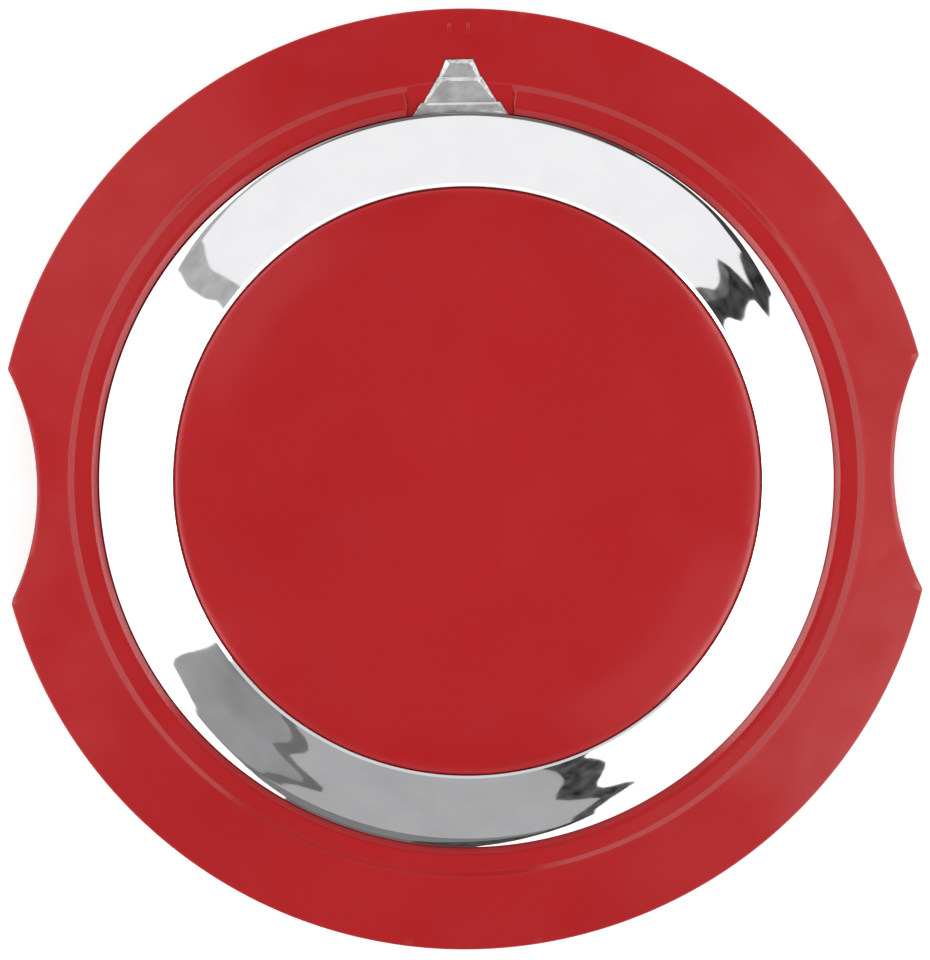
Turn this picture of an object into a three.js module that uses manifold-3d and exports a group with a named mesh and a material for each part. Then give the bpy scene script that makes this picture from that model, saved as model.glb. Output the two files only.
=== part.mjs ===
// Quiz buzzer: a palm-sized press button with a light pointer, a speaker and two AAA cells.
// Millimetres, +Z up. The origin is the centre of the footprint on the surface that the rubber
// feet stand on. +Y points to the light lens, which faces away from the player.

import * as THREE from "three";
import { mergeVertices } from "three/addons/utils/BufferGeometryUtils.js";
import Module from "manifold-3d";

const wasm = await Module();
wasm.setup();

// ---- Driving dimensions ----

const OUTER_R = 50;
const TOTAL_H = 35;
const GAP = 0.3; // clearance between neighbouring pieces
const TRAVEL = 2.5; // button stroke

// Thumb scallop on each side of the housing.
const SCOOP_DEPTH = 4.5;
const SCOOP_R = 27.9;
const SCOOP_TIP_R = 0.5;

// Base cover: plate, outer lip and what stands on the plate.
const FOOT_H = 2;
const FOOT_R = 4.2;
const FOOT_SPOTS = [[33.5, 29], [-33.5, 29], [-33.5, -29], [33.5, -29]];
const PLATE_LOW = 1.4;
const PLATE_TOP = 3.4;
const PLATE_INSET = 0.4;

// Upper housing: a wall, a sloping shoulder, a flat collar and the well that the button sinks into.
const WALL = 2;
const WALL_LOW = PLATE_TOP + GAP;
const EDGE_ROUND = 0.3; // between the wall and the shoulder
const SHOULDER_R = 42;
const SHOULDER_TOP = 23.2;
const SHOULDER_SLOPE = 0.35;
const SHOULDER_T = 1.8;
const COLLAR_STEP = 0.55; // how far the collar's outer edge stands up from the shoulder
const COLLAR_TOP = 24.2;
const LIP_ROUND = 0.6; // between the collar and the well
const WELL_R = 39.35;
const WELL_WALL_R = 41.25;
const DECK_LOW = 17;
const DECK_TOP = 18.6;
const GUIDE_BORE_R = 8.9;
const GUIDE_TOP = 22.4;

// Holes and what they take: screw posts, board posts, the battery door's screw boss.
const POST_R = 3.2;
const POST_LOW = 7.3;
const POST_PILOT_R = 1.6;
const POST_PILOT_TOP = 15.8;
const BOARD_POST_R = 2.4;
const BOARD_PILOT_R = 1.25;
const CUP_R = 4.6;
const CUP_TOP = 7;
const CUP_FLOOR = 5.4;
const HEAD_WELL_R = 3.2;
const DOOR_BOSS_R = 3.2;
const DOOR_BOSS_TOP = 7.5;

// Button: a chrome ring and a red cap on one carrier.
const RING_R = 39;
const RING_BORE_R = 31.1;
const RING_LOW = DECK_TOP + TRAVEL + 0.4;
const RING_WALL = 1.2;
const RING_SIDE_TOP = 24.57;
const RING_ROLL_R = 3; // between the ring's side and its sloping face
const RING_ROLL_ANGLE = 53.3;
const CAP_R = 30.95;
const CAP_LOW = 27.9;
const CAP_T = 2;
const PEG_R = 1.6;
const CARRIER_R = 37.4;
const CARRIER_LOW = 26;
const CARRIER_TOP = 27.6;
const GUIDE_TUBE_R = 8.6;
const HOOK_R = 35;
const HOOK_ANGLES = [30, 150, 270];
const PEG_ANGLES = [90, 210, 330];
const PEG_SPOT_R = 20;

// Lens: three tiers that step up towards the button.
const LENS_LOW = 18.9;
const LENS_TIERS = [
  { from: WELL_R, to: 39.95, nearHalf: 5.15, farHalf: 4.4, top: 24.4 },
  { from: 39.95, to: 42.65, nearHalf: 3.95, farHalf: 2.4, top: 23.9 },
  { from: 42.65, to: 44.5, nearHalf: 2.15, farHalf: 1.45, top: 23.3 },
];
const LENS_FLANGE = { halfX: 6.2, near: 41.8, far: 45.6, t: 0.5 };
const COLLAR_GAP_HALF = 5.65;

// Circuit board under the deck.
const BOARD_LOW = 14.6;
const BOARD_TOP = 16.2;
const BOARD_SCREWS = [[-21.5, -2.5], [21.5, -2.5], [0, 25]];
const LED_Y = 43.2;

// Battery bay, its door and the two AAA cells.
const BAY = { x: 26.8, low: -31.2, high: -8.8, roof: 14.8, top: 16 };
const BAY_WALL = 2;
const DOOR = { x: 28.1, low: -32.5, high: -7.5, top: 2.6 };
const DOOR_SCREW_Y = -4;
const LEDGE_Z = 2.9;
const CELL_R = 5.25;
const CELL_LENGTH = 44.5;
const CELL_Z = 9.2;
const CELL_YS = [-25.6, -14.4];

// Speaker, cone down over the grille.
const SPEAKER_Y = 21;
const SPEAKER_R = 18;
const GRILLE_R = 12.5;
const GRILLE_STEP = 3;
const GRILLE_SLOT = 1.6;

// Power switch.
const SWITCH = { x: -33, y: 4, halfX: 4.3, halfY: 6 };
const SWITCH_TRAVEL = 2.5;

// Screws that hold the base cover to the housing.
const CASE_SCREWS = [[37, 20], [-37, 20], [-37, -20], [37, -20]];

// Facets round a large, a middling and a small circle.
const LARGE = 48;
const MIDDLE = 24;
const SMALL = 12;

// ---- Solids ----

const radians = THREE.MathUtils.degToRad;
const polar = (r, angle) => [r * Math.cos(radians(angle)), r * Math.sin(radians(angle))];

function solid(geometry) {
  const bare = geometry.clone();
  bare.deleteAttribute("normal");
  bare.deleteAttribute("uv");
  const merged = mergeVertices(bare, 1e-4);
  return new wasm.Manifold(new wasm.Mesh({
    numProp: 3,
    vertProperties: merged.attributes.position.array,
    triVerts: new Uint32Array(merged.index.array),
  }));
}

function geometryOf(body) {
  const { vertProperties, triVerts } = body.getMesh();
  const geometry = new THREE.BufferGeometry();
  geometry.setAttribute("position", new THREE.BufferAttribute(vertProperties, 3));
  geometry.setIndex(new THREE.BufferAttribute(triVerts, 1));
  return geometry;
}

const turned = (body, angle) => solid(geometryOf(body).rotateZ(radians(angle)));
const join = (first, ...others) => others.reduce((all, next) => all.add(next), first);
const cut = (first, ...others) => others.reduce((all, next) => all.subtract(next), first);

// A solid of revolution about a vertical axis, from [radius, height] points that run
// anticlockwise: outwards along the bottom, up the outside and back along the top.
function revolve(profile, facets = LARGE, [x, y] = [0, 0]) {
  const points = profile.map(([r, z]) => new THREE.Vector2(r, z));
  return solid(new THREE.LatheGeometry(points, facets).rotateX(Math.PI / 2).translate(x, y, 0));
}

const drum = (r, low, high, spot, facets = SMALL) =>
  revolve([[0, low], [r, low], [r, high], [0, high]], facets, spot);

const tube = (inner, outer, low, high, spot, facets = MIDDLE) =>
  revolve([[inner, low], [outer, low], [outer, high], [inner, high], [inner, low]], facets, spot);

const ordered = (a, b) => (a < b ? [a, b] : [b, a]);

function block([x0, x1], [y0, y1], [z0, z1]) {
  const geometry = new THREE.BoxGeometry(x1 - x0, y1 - y0, z1 - z0);
  return solid(geometry.translate((x0 + x1) / 2, (y0 + y1) / 2, (z0 + z1) / 2));
}

function prism(outline, low, high) {
  const shape = new THREE.Shape(outline.map(([x, y]) => new THREE.Vector2(x, y)));
  const geometry = new THREE.ExtrudeGeometry(shape, { depth: high - low, bevelEnabled: false });
  return solid(geometry.translate(0, 0, low));
}

// A closed skin through level outlines with equal point counts, from the lowest to the highest.
function loft(levels) {
  const count = levels[0].length;
  const vertices = levels.flat(2);
  const faces = [];
  for (let level = 0; level + 1 < levels.length; level++) {
    for (let i = 0; i < count; i++) {
      const a = level * count + i;
      const b = level * count + ((i + 1) % count);
      faces.push(a, b, b + count, a, b + count, a + count);
    }
  }
  const lastLevel = (levels.length - 1) * count;
  const cap = (start, turn) => {
    const outline = levels[start / count].map(([x, y]) => new THREE.Vector2(x, y));
    for (const [a, b, c] of THREE.ShapeUtils.triangulateShape(outline, []))
      faces.push(start + a, start + (turn ? c : b), start + (turn ? b : c));
  };
  cap(0, true);
  cap(lastLevel, false);
  const geometry = new THREE.BufferGeometry();
  geometry.setAttribute("position", new THREE.Float32BufferAttribute(vertices, 3));
  geometry.setIndex(faces);
  return solid(geometry);
}

// A round wire along a curve, with six sides.
function sweep(path, radius, steps) {
  const section = new THREE.Shape();
  section.absarc(0, 0, radius, 0, 2 * Math.PI);
  const options = { steps, extrudePath: path, curveSegments: 3, bevelEnabled: false };
  return solid(new THREE.ExtrudeGeometry(section, options));
}

// A helix about a vertical axis whose radius may change along it and whose ends flatten.
class Helix extends THREE.Curve {
  constructor(lowR, highR, low, high, turns) {
    super();
    Object.assign(this, { lowR, highR, low, high, turns });
  }
  getPoint(t, target = new THREE.Vector3()) {
    const angle = 2 * Math.PI * this.turns * t;
    const r = THREE.MathUtils.lerp(this.lowR, this.highR, t);
    const rise = THREE.MathUtils.smoothstep(t, 0.06, 0.94);
    const z = THREE.MathUtils.lerp(this.low, this.high, 0.5 * (t + rise));
    return target.set(r * Math.cos(angle), r * Math.sin(angle), z);
  }
}

// ---- Outlines ----

function arc(cx, cy, r, from, to, steps) {
  const points = [];
  for (let i = 0; i <= steps; i++) {
    const angle = from + ((to - from) * i) / steps;
    points.push([cx + r * Math.cos(angle), cy + r * Math.sin(angle)]);
  }
  return points;
}

// The outline from above, moved inwards by inset: a circle with a scallop on each side, the
// scallop's tips rounded. One quarter is worked out and mirrored.
function footprint(inset) {
  const r = OUTER_R - inset;
  const scoop = SCOOP_R + inset;
  const scoopX = OUTER_R - SCOOP_DEPTH + SCOOP_R;
  const tip = SCOOP_TIP_R;
  const tipX = ((r - tip) ** 2 - (scoop + tip) ** 2 + scoopX ** 2) / (2 * scoopX);
  const tipY = Math.sqrt((r - tip) ** 2 - tipX ** 2);
  const rimAngle = Math.atan2(tipY, tipX);
  const scoopAngle = Math.atan2(tipY, scoopX - tipX);
  const quarter = [
    ...arc(scoopX, 0, scoop, Math.PI, Math.PI - scoopAngle, 4),
    ...arc(tipX, tipY, tip, -scoopAngle, rimAngle, 2).slice(1),
    ...arc(0, 0, r, rimAngle, Math.PI / 2, 11).slice(1),
  ];
  const half = [...quarter, ...quarter.map(([x, y]) => [-x, y]).reverse().slice(1)];
  return [...half, ...half.map(([x, y]) => [-x, -y]).slice(1, -1)];
}

const shoulderZ = (r) => SHOULDER_TOP - SHOULDER_SLOPE * (r - SHOULDER_R);

// The footprint at an inset, lying on the shoulder's cone and dropped below it.
const onShoulder = (inset, drop) =>
  footprint(inset).map(([x, y]) => [x, y, shoulderZ(Math.hypot(x, y)) - drop]);

// The footprint's points drawn in to a circle, which keeps a loft's point count.
const circleLevel = (r, z) =>
  footprint(0).map(([x, y]) => [(x * r) / Math.hypot(x, y), (y * r) / Math.hypot(x, y), z]);

const level = (inset, z) => footprint(inset).map(([x, y]) => [x, y, z]);

// A tier of the lens from above, wider by spare all round; its near edge follows the well.
function lensSlice({ from, to, nearHalf, farHalf }, spare = 0) {
  const near = nearHalf + spare;
  const far = farHalf + spare;
  const nearR = from - spare;
  const nearY = (x) => Math.sqrt(nearR ** 2 - x ** 2);
  const xs = [-near, -near / 2, 0, near / 2, near];
  return [...xs.map((x) => [x, nearY(x)]), [far, to + spare], [-far, to + spare]];
}

// ---- Casing ----

function upperHousing() {
  const outside = loft([
    level(0, WALL_LOW),
    onShoulder(0, EDGE_ROUND),
    onShoulder(EDGE_ROUND * 0.3, EDGE_ROUND * 0.3),
    onShoulder(EDGE_ROUND, 0),
    circleLevel(SHOULDER_R, SHOULDER_TOP),
    circleLevel(SHOULDER_R - 0.15, SHOULDER_TOP + COLLAR_STEP),
    circleLevel(WELL_R + LIP_ROUND, COLLAR_TOP),
    circleLevel(WELL_R + LIP_ROUND * 0.3, COLLAR_TOP - LIP_ROUND * 0.3),
  ]);
  const inside = loft([
    level(WALL, WALL_LOW - 1),
    onShoulder(WALL, SHOULDER_T + 1),
    onShoulder(WALL + 1, SHOULDER_T),
    circleLevel(WELL_R, shoulderZ(WELL_WALL_R) - SHOULDER_T),
  ]);
  const core = drum(WELL_WALL_R, DECK_LOW, TOTAL_H, [0, 0], LARGE);
  const postTop = shoulderZ(SHOULDER_R) - SHOULDER_T;
  const posts = CASE_SCREWS.map((spot) => drum(POST_R, POST_LOW, postTop, spot));
  const pilots = CASE_SCREWS.map((spot) => drum(POST_PILOT_R, POST_LOW - 1, POST_PILOT_TOP, spot));
  const well = drum(WELL_R, DECK_TOP, TOTAL_H, [0, 0], LARGE);
  const guide = tube(GUIDE_BORE_R, GUIDE_BORE_R + 1.4, DECK_LOW, GUIDE_TOP, [0, 0]);
  const boardPostTop = DECK_TOP + 1.6;
  const boardPosts = BOARD_SCREWS.map((spot) => drum(BOARD_POST_R, DECK_LOW, boardPostTop, spot));
  const boardPilots = BOARD_SCREWS.map((spot) =>
    drum(BOARD_PILOT_R, DECK_LOW - 1, boardPostTop + 1, spot));
  const hookSlots = HOOK_ANGLES.map((angle) =>
    turned(block([HOOK_R - 2.2, HOOK_R + 2], [-3.5, 3.5], [DECK_LOW - 1, DECK_TOP + 1]), angle));
  const lensHole = LENS_TIERS.map((tier) => prism(lensSlice(tier, 0.25), LENS_LOW, TOTAL_H));
  const collarGap = block(
    [-COLLAR_GAP_HALF, COLLAR_GAP_HALF],
    [WELL_R - 2, SHOULDER_R + 1],
    [SHOULDER_TOP + 0.05, TOTAL_H],
  );
  return cut(
    join(
      cut(join(cut(outside, cut(inside, core)), ...posts.map((p) => p.intersect(outside))), well),
      guide,
      ...boardPosts,
    ),
    drum(GUIDE_BORE_R, DECK_LOW - 1, TOTAL_H, [0, 0], MIDDLE),
    ...pilots,
    ...boardPilots,
    ...hookSlots,
    ...lensHole,
    collarGap,
  );
}

function baseCover() {
  const plate = loft([
    level(PLATE_INSET + 0.6, PLATE_LOW),
    level(PLATE_INSET, PLATE_LOW + 0.6),
    level(PLATE_INSET, PLATE_TOP),
  ]);
  const lip = cut(
    prism(footprint(WALL + GAP), PLATE_TOP - 0.5, 6.2),
    prism(footprint(WALL + GAP + 1.4), PLATE_TOP - 1, 7),
  );
  const cups = CASE_SCREWS.map((spot) => drum(CUP_R, PLATE_TOP - 0.5, CUP_TOP, spot));
  const bay = block(
    [-BAY.x - BAY_WALL, BAY.x + BAY_WALL],
    [BAY.low - BAY_WALL, BAY.high + BAY_WALL],
    [LEDGE_Z, BAY.top],
  );
  const doorBoss = drum(DOOR_BOSS_R, WALL_LOW, DOOR_BOSS_TOP, [0, DOOR_SCREW_Y]);
  const speakerWall = tube(SPEAKER_R + 0.4, SPEAKER_R + 1.5, PLATE_TOP - 0.5, 7, [0, SPEAKER_Y]);
  const switchRails = [-1, 1].map((side) => {
    const x = SWITCH.x + side * (SWITCH.halfX + 0.9);
    return block([x - 0.6, x + 0.6], [SWITCH.y - 5, SWITCH.y + 5], [PLATE_TOP - 0.5, 6]);
  });
  const doorway = block(
    [-DOOR.x - GAP, DOOR.x + GAP],
    [DOOR.low - GAP, DOOR.high + GAP],
    [0, LEDGE_Z],
  );
  const bayMouth = block([-BAY.x, BAY.x], [BAY.low, BAY.high], [0, BAY.roof]);
  const ear = block([-4.3, 4.3], [BAY.high - 1, -0.5], [0, WALL_LOW]);
  const tabSlots = [-14, 14].map((x) =>
    block([x - 3.4, x + 3.4], [BAY.low - BAY_WALL - 1, BAY.low + 1], [PLATE_TOP + 0.02, 6.2]));
  const tabMouths = [-14, 14].map((x) =>
    block([x - 3.4, x + 3.4], [DOOR.low - GAP, BAY.low + 1], [0, PLATE_TOP + 1]));
  const contactSlots = [-1, 1].flatMap((end) => {
    const xs = ordered(end * (BAY.x - 1), end * (BAY.x + BAY_WALL + 1));
    return CELL_YS.map((y) => block(xs, [y - 1.6, y + 1.6], [12, 13.4]));
  });
  const grille = [-3, -2, -1, 0, 1, 2, 3].map((place) => {
    const x = place * GRILLE_STEP;
    const half = Math.sqrt(GRILLE_R ** 2 - x ** 2);
    return block(
      [x - GRILLE_SLOT / 2, x + GRILLE_SLOT / 2],
      [SPEAKER_Y - half, SPEAKER_Y + half],
      [0, PLATE_TOP + 1],
    );
  });
  const screwWells = CASE_SCREWS.flatMap((spot) => [
    drum(HEAD_WELL_R, 0, CUP_FLOOR, spot),
    drum(POST_PILOT_R + 0.1, CUP_FLOOR - 0.5, CUP_TOP + 1, spot),
  ]);
  const footWells = FOOT_SPOTS.map((spot) => drum(FOOT_R + GAP, 0, FOOT_H + GAP, spot));
  const knobSlot = block(
    [SWITCH.x - 1.5, SWITCH.x + 1.5],
    [SWITCH.y - 3.6, SWITCH.y + 3.6],
    [0, PLATE_TOP + 1],
  );
  return cut(
    join(plate, lip, ...cups, bay, speakerWall, ...switchRails),
    doorway,
    bayMouth,
    ear,
    ...tabSlots,
    ...tabMouths,
    ...contactSlots,
    ...grille,
    ...screwWells,
    ...footWells,
    knobSlot,
  ).add(cut(doorBoss, drum(1.45, 3, 8, [0, DOOR_SCREW_Y], 12)));
}

function batteryDoor() {
  const plate = block([-DOOR.x, DOOR.x], [DOOR.low, DOOR.high], [PLATE_LOW, DOOR.top]);
  const ear = block([-4, 4], [DOOR.high - 1, -0.8], [PLATE_LOW, PLATE_TOP]);
  const frame = cut(
    block([-BAY.x + 0.5, BAY.x - 0.5], [BAY.low + 0.6, BAY.high - 0.6], [DOOR.top - 0.5, 3.6]),
    block([-BAY.x + 1.7, BAY.x - 1.7], [BAY.low + 1.8, BAY.high - 1.8], [DOOR.top, 4]),
  );
  const tabs = [-14, 14].flatMap((x) => [
    block([x - 3, x + 3], [BAY.low + 0.6, BAY.low + 1.8], [DOOR.top - 0.5, 4.7]),
    block([x - 3, x + 3], [-34, BAY.low + 1.8], [PLATE_TOP + GAP, 4.7]),
  ]);
  return cut(
    join(plate, ear, frame, ...tabs),
    drum(2.5, 0, 2.7, [0, DOOR_SCREW_Y]),
    drum(1.3, 0, 4, [0, DOOR_SCREW_Y], 12),
  );
}

// ---- Button ----

const chromeRing = () => revolve([
  [RING_R - RING_WALL, RING_LOW],
  [RING_R, RING_LOW],
  ...arc(RING_R - RING_ROLL_R, RING_SIDE_TOP, RING_ROLL_R, 0, radians(RING_ROLL_ANGLE), 3),
  [34.9, 29.13],
  [31.55, 31],
  [31.3, 31.05],
  [RING_BORE_R, 30.85],
  [RING_BORE_R, CAP_LOW],
  [RING_BORE_R + RING_WALL, CAP_LOW],
  [RING_BORE_R + RING_WALL, 29.3],
  [37.3, 26],
  [RING_R - RING_WALL, 25],
  [RING_R - RING_WALL, RING_LOW],
]);

// The cap's outside: nearly level in the middle, falling faster towards the rim.
const domeZ = (r) => TOTAL_H - 0.003 * r ** 2 - 1.42e-9 * r ** 6;

function buttonCap() {
  const outside = [30.6, 27.5, 24, 20, 15, 8, 0].map((r) => [r, domeZ(r)]);
  const underside = [0, 10, 18, 24, 28.5].map((r) => [r, domeZ(r) - CAP_T]);
  const dome = revolve([
    [28.9, CAP_LOW],
    [CAP_R, CAP_LOW],
    [CAP_R, domeZ(CAP_R)],
    ...outside,
    ...underside,
    [28.9, CAP_LOW],
  ]);
  const pegs = PEG_ANGLES.map((angle) =>
    drum(PEG_R, CARRIER_LOW - 0.4, domeZ(PEG_SPOT_R) - 1, polar(PEG_SPOT_R, angle)));
  return join(dome, ...pegs);
}

function buttonCarrier() {
  const shell = revolve([
    [0, CARRIER_LOW],
    [GUIDE_TUBE_R - 1.4, CARRIER_LOW],
    [GUIDE_TUBE_R - 1.4, 19.8],
    [GUIDE_TUBE_R, 19.8],
    [GUIDE_TUBE_R, CARRIER_LOW],
    [CARRIER_R - 1.4, CARRIER_LOW - 0.6],
    [CARRIER_R - 1.4, RING_LOW + 0.2],
    [CARRIER_R, RING_LOW + 0.2],
    [CARRIER_R, 24.8],
    [36.9, 25.6],
    [32.0, CARRIER_TOP],
    [0, CARRIER_TOP],
  ]);
  const nub = drum(3, 20.2, CARRIER_LOW + 0.5, [0, 0]);
  const rib = join(
    block([14.5, 33], [-0.7, 0.7], [23.6, CARRIER_LOW + 0.2]),
    block([32, CARRIER_R - 1.1], [-0.7, 0.7], [23.6, CARRIER_LOW - 0.4]),
  );
  const ribs = [0, 60, 120, 180, 240, 300].map((angle) => turned(rib, angle));
  const hook = join(
    block([HOOK_R - 1, HOOK_R + 1], [-3, 3], [14.9, CARRIER_LOW]),
    block([HOOK_R - 1, HOOK_R + 1.7], [-3, 3], [14.9, DECK_LOW - GAP]),
  );
  const hooks = HOOK_ANGLES.map((angle) => turned(hook, angle));
  const pegHoles = PEG_ANGLES.map((angle) =>
    drum(PEG_R + GAP, CARRIER_LOW - 1, CARRIER_TOP + 1, polar(PEG_SPOT_R, angle)));
  return cut(join(shell, nub, ...ribs, ...hooks), ...pegHoles);
}

const returnSpring = () =>
  sweep(new Helix(12, 12, DECK_TOP + 0.8, CARRIER_LOW - 0.8, 4.5), 0.6, 72);

// ---- Light ----

function ledLens() {
  const low = LENS_LOW + GAP;
  const tiers = LENS_TIERS.map((tier) => prism(lensSlice(tier), low, tier.top));
  const { halfX, near, far, t } = LENS_FLANGE;
  return join(...tiers, block([-halfX, halfX], [near, far], [low, low + t]));
}

const statusLed = () => revolve([
  [0, 16.5],
  [1.9, 16.5],
  [1.9, 17.1],
  [1.5, 17.1],
  [1.5, 18.1],
  [1.1, 18.6],
  [0, 18.8],
], SMALL, [0, LED_Y]);

// ---- Electronics ----

function circuitBoard() {
  const outline = [
    [-25, -6], [25, -6], [25, 12], [20, 17], [20, 23], [15, 28.4],
    [5, 28.4], [5, 46], [-5, 46], [-5, 28.4], [-15, 28.4], [-20, 23], [-20, 17], [-25, 12],
  ];
  const holes = BOARD_SCREWS.map((spot) => drum(1.3, BOARD_LOW - 1, BOARD_TOP + 1, spot, 12));
  return cut(prism(outline, BOARD_LOW, BOARD_TOP), ...holes);
}

const rubberDome = () => revolve([
  [0, 18.6],
  [2.2, 18.4],
  [4.1, 16.5],
  [6, 16.5],
  [6, 17.1],
  [4.6, 17.3],
  [3, 19.2],
  [3, 19.9],
  [0, 19.9],
], 24);

const soundChip = () => block([9, 19], [2.5, 8.5], [12.9, BOARD_LOW - GAP]);

const capacitor = () => revolve([
  [0, 8.6], [2.3, 8.6], [2.5, 8.8], [2.5, 13.8], [2.2, BOARD_LOW - GAP], [0, BOARD_LOW - GAP],
], SMALL, [-19, 4]);

// ---- Speaker ----

const speakerFrame = () => revolve([
  [15.4, WALL_LOW], [SPEAKER_R, WALL_LOW], [SPEAKER_R, 4.7], [16, 4.7], [14.6, 7.6],
  [9.4, 9.2], [3.4, 9.2], [3.4, 8.6], [8.9, 8.6], [13.9, 7.1], [15.4, WALL_LOW],
], MIDDLE, [0, SPEAKER_Y]);

const speakerMagnet = () => revolve([
  [0, 9.5], [7.8, 9.5], [7.8, 12.1], [7.4, 12.5], [0, 12.5],
], MIDDLE, [0, SPEAKER_Y]);

const speakerCone = () => revolve([
  [0, 6.1], [3, 6.9], [10.5, 4.7], [12.4, 4.1], [14.6, 4.3], [14.6, 4.7],
  [12.4, 4.6], [10.6, 5.3], [3, 7.5], [3, 8.9], [0, 8.9],
], MIDDLE, [0, SPEAKER_Y]);

// ---- Power ----

// A cell lying along X, its raised terminal at the end that faces +X when way is 1.
function batteryCell(y, way) {
  const half = CELL_LENGTH / 2;
  const outline = [
    [0, -half], [4.6, -half], [CELL_R, -half + 0.5], [CELL_R, half - 1.5], [4.7, half - 0.9],
    [1.9, half - 0.9], [1.9, half - 0.2], [1.7, half], [0, half],
  ];
  const points = outline.map(([r, along]) => new THREE.Vector2(r, along));
  const geometry = new THREE.LatheGeometry(points, 24);
  return solid(geometry.rotateZ((-way * Math.PI) / 2).translate(0, y, CELL_Z));
}

// Contact plate against an end wall of the bay, with a tag that leaves through the wall.
function contactPlate(end, y0, y1, tagY) {
  const inner = end * (BAY.x - GAP);
  const xs = ordered(inner, inner - end * 0.5);
  const tag = ordered(inner - end * 0.5, end * (BAY.x + BAY_WALL + 1.6));
  return join(
    block(xs, [y0, y1], [4.4, 14.2]),
    block(tag, [tagY - 1.2, tagY + 1.2], [12.4, 12.9]),
  );
}

// Conical coil that presses on a cell's flat end.
function contactCoil(end, y) {
  const depth = BAY.x - GAP - 0.4 - CELL_LENGTH / 2 - 0.7;
  const coil = new Helix(4, 2.2, 0, depth, 2.5);
  const wire = geometryOf(sweep(coil, 0.4, 30));
  wire.rotateY((-end * Math.PI) / 2).translate(end * (BAY.x - GAP - 0.5), y, CELL_Z);
  return solid(wire);
}

const bridgeContact = () => join(
  contactPlate(-1, CELL_YS[0] - 4.4, CELL_YS[1] + 4.4, CELL_YS[0]),
  contactCoil(-1, CELL_YS[0]),
);

const negativeContact = () => join(
  contactPlate(1, CELL_YS[1] - 4.4, CELL_YS[1] + 4.4, CELL_YS[1]),
  contactCoil(1, CELL_YS[1]),
);

const positiveContact = () => contactPlate(1, CELL_YS[0] - 4.4, CELL_YS[0] + 4.4, CELL_YS[0]);

const switchBody = () => cut(
  block(
    [SWITCH.x - SWITCH.halfX, SWITCH.x + SWITCH.halfX],
    [SWITCH.y - SWITCH.halfY, SWITCH.y + SWITCH.halfY],
    [WALL_LOW, 8.4],
  ),
  block([SWITCH.x - 2.7, SWITCH.x + 2.7], [SWITCH.y - 4.4, SWITCH.y + 4.4], [3, 7]),
);

// The knob rests at its off end, towards -Y.
const switchKnob = () => {
  const y = SWITCH.y - SWITCH_TRAVEL / 2;
  return join(
    block([SWITCH.x - 2.4, SWITCH.x + 2.4], [y - 2.9, y + 2.9], [4.2, 6.6]),
    block([SWITCH.x - 1.2, SWITCH.x + 1.2], [y - 2, y + 2], [0.6, 4.6]),
  );
};

// ---- Fasteners and feet ----

// A screw driven upwards: its head is below and its cross recess opens downwards.
function screw(headR, headH, shankR, length) {
  const body = revolve([
    [0, 0],
    [headR * 0.8, 0],
    [headR, headH * 0.35],
    [headR, headH],
    [shankR, headH],
    [shankR, length - shankR],
    [shankR * 0.4, length],
    [0, length],
  ], SMALL);
  const recess = headR * 0.5;
  const depth = headH * 0.6;
  return cut(
    body,
    block([-recess, recess], [-0.25, 0.25], [-1, depth]),
    block([-0.25, 0.25], [-recess, recess], [-1, depth]),
  );
}

const rubberFoot = () => revolve([
  [0, 0], [FOOT_R - 0.5, 0], [FOOT_R, 0.5], [FOOT_R, FOOT_H], [0, FOOT_H],
], 24);

// ---- Wires ----

const WIRES = {
  battery_wire_red: [
    [30.2, -25.6, 13.6], [32, -20, 13.6], [32, -10, 13],
    [29.4, -3.2, 12], [24.6, 1.4, 12], [22.6, 3.6, 14],
  ],
  battery_wire_black: [
    [30.3, -14.4, 13.6], [30.9, -10, 14.2], [29.6, -5, 14.2],
    [26.4, -2.4, 13.4], [22.4, 0.5, 12.2], [19.9, 0.6, 14],
  ],
  speaker_wire_red: [[-9.5, 11.5, 9.9], [-11, 9, 11], [-12, 8, 12.6], [-12, 8, 14]],
  speaker_wire_black: [[-6.5, 9.7, 9.9], [-7.6, 6.4, 11], [-8, 4.4, 12.6], [-8, 4.2, 14]],
};

// ---- Assembly ----

// Colour, roughness and metalness of each finish.
const FINISHES = {
  red: [0xb2262a, 0.22, 0],
  chrome: [0xe6e6e6, 0.05, 1],
  clear: [0xd8dadb, 0.1, 0],
  black: [0x1c1c1e, 0.55, 0],
  natural: [0xd9d6cc, 0.5, 0],
  steel: [0xb4b6b8, 0.3, 1],
  rubber: [0x262626, 0.9, 0],
  silicone: [0x8d9094, 0.7, 0],
  board: [0x1f5a34, 0.45, 0],
  magnet: [0x3a3a3c, 0.6, 0.4],
  paper: [0x2e2c2a, 0.9, 0],
  jacket: [0x30343c, 0.35, 0.3],
  lamp: [0xc22b25, 0.2, 0],
  redWire: [0xb02522, 0.5, 0],
};

function piece(name, body, finish, [x, y, z] = [0, 0, 0]) {
  const [color, roughness, metalness] = FINISHES[finish];
  const geometry = geometryOf(body).toNonIndexed();
  geometry.computeVertexNormals();
  const material = new THREE.MeshStandardMaterial({ color, roughness, metalness });
  const mesh = new THREE.Mesh(geometry, material);
  mesh.name = name;
  mesh.position.set(x, y, z);
  return mesh;
}

function group(...meshes) {
  const made = new THREE.Group();
  made.add(...meshes);
  return made;
}

const casing = group(
  piece("upper_housing", upperHousing(), "red"),
  piece("base_cover", baseCover(), "black"),
  piece("battery_door", batteryDoor(), "black"),
);

const button = group(
  piece("button_cap", buttonCap(), "red"),
  piece("chrome_ring", chromeRing(), "chrome"),
  piece("button_carrier", buttonCarrier(), "natural"),
  piece("return_spring", returnSpring(), "steel"),
);

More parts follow.
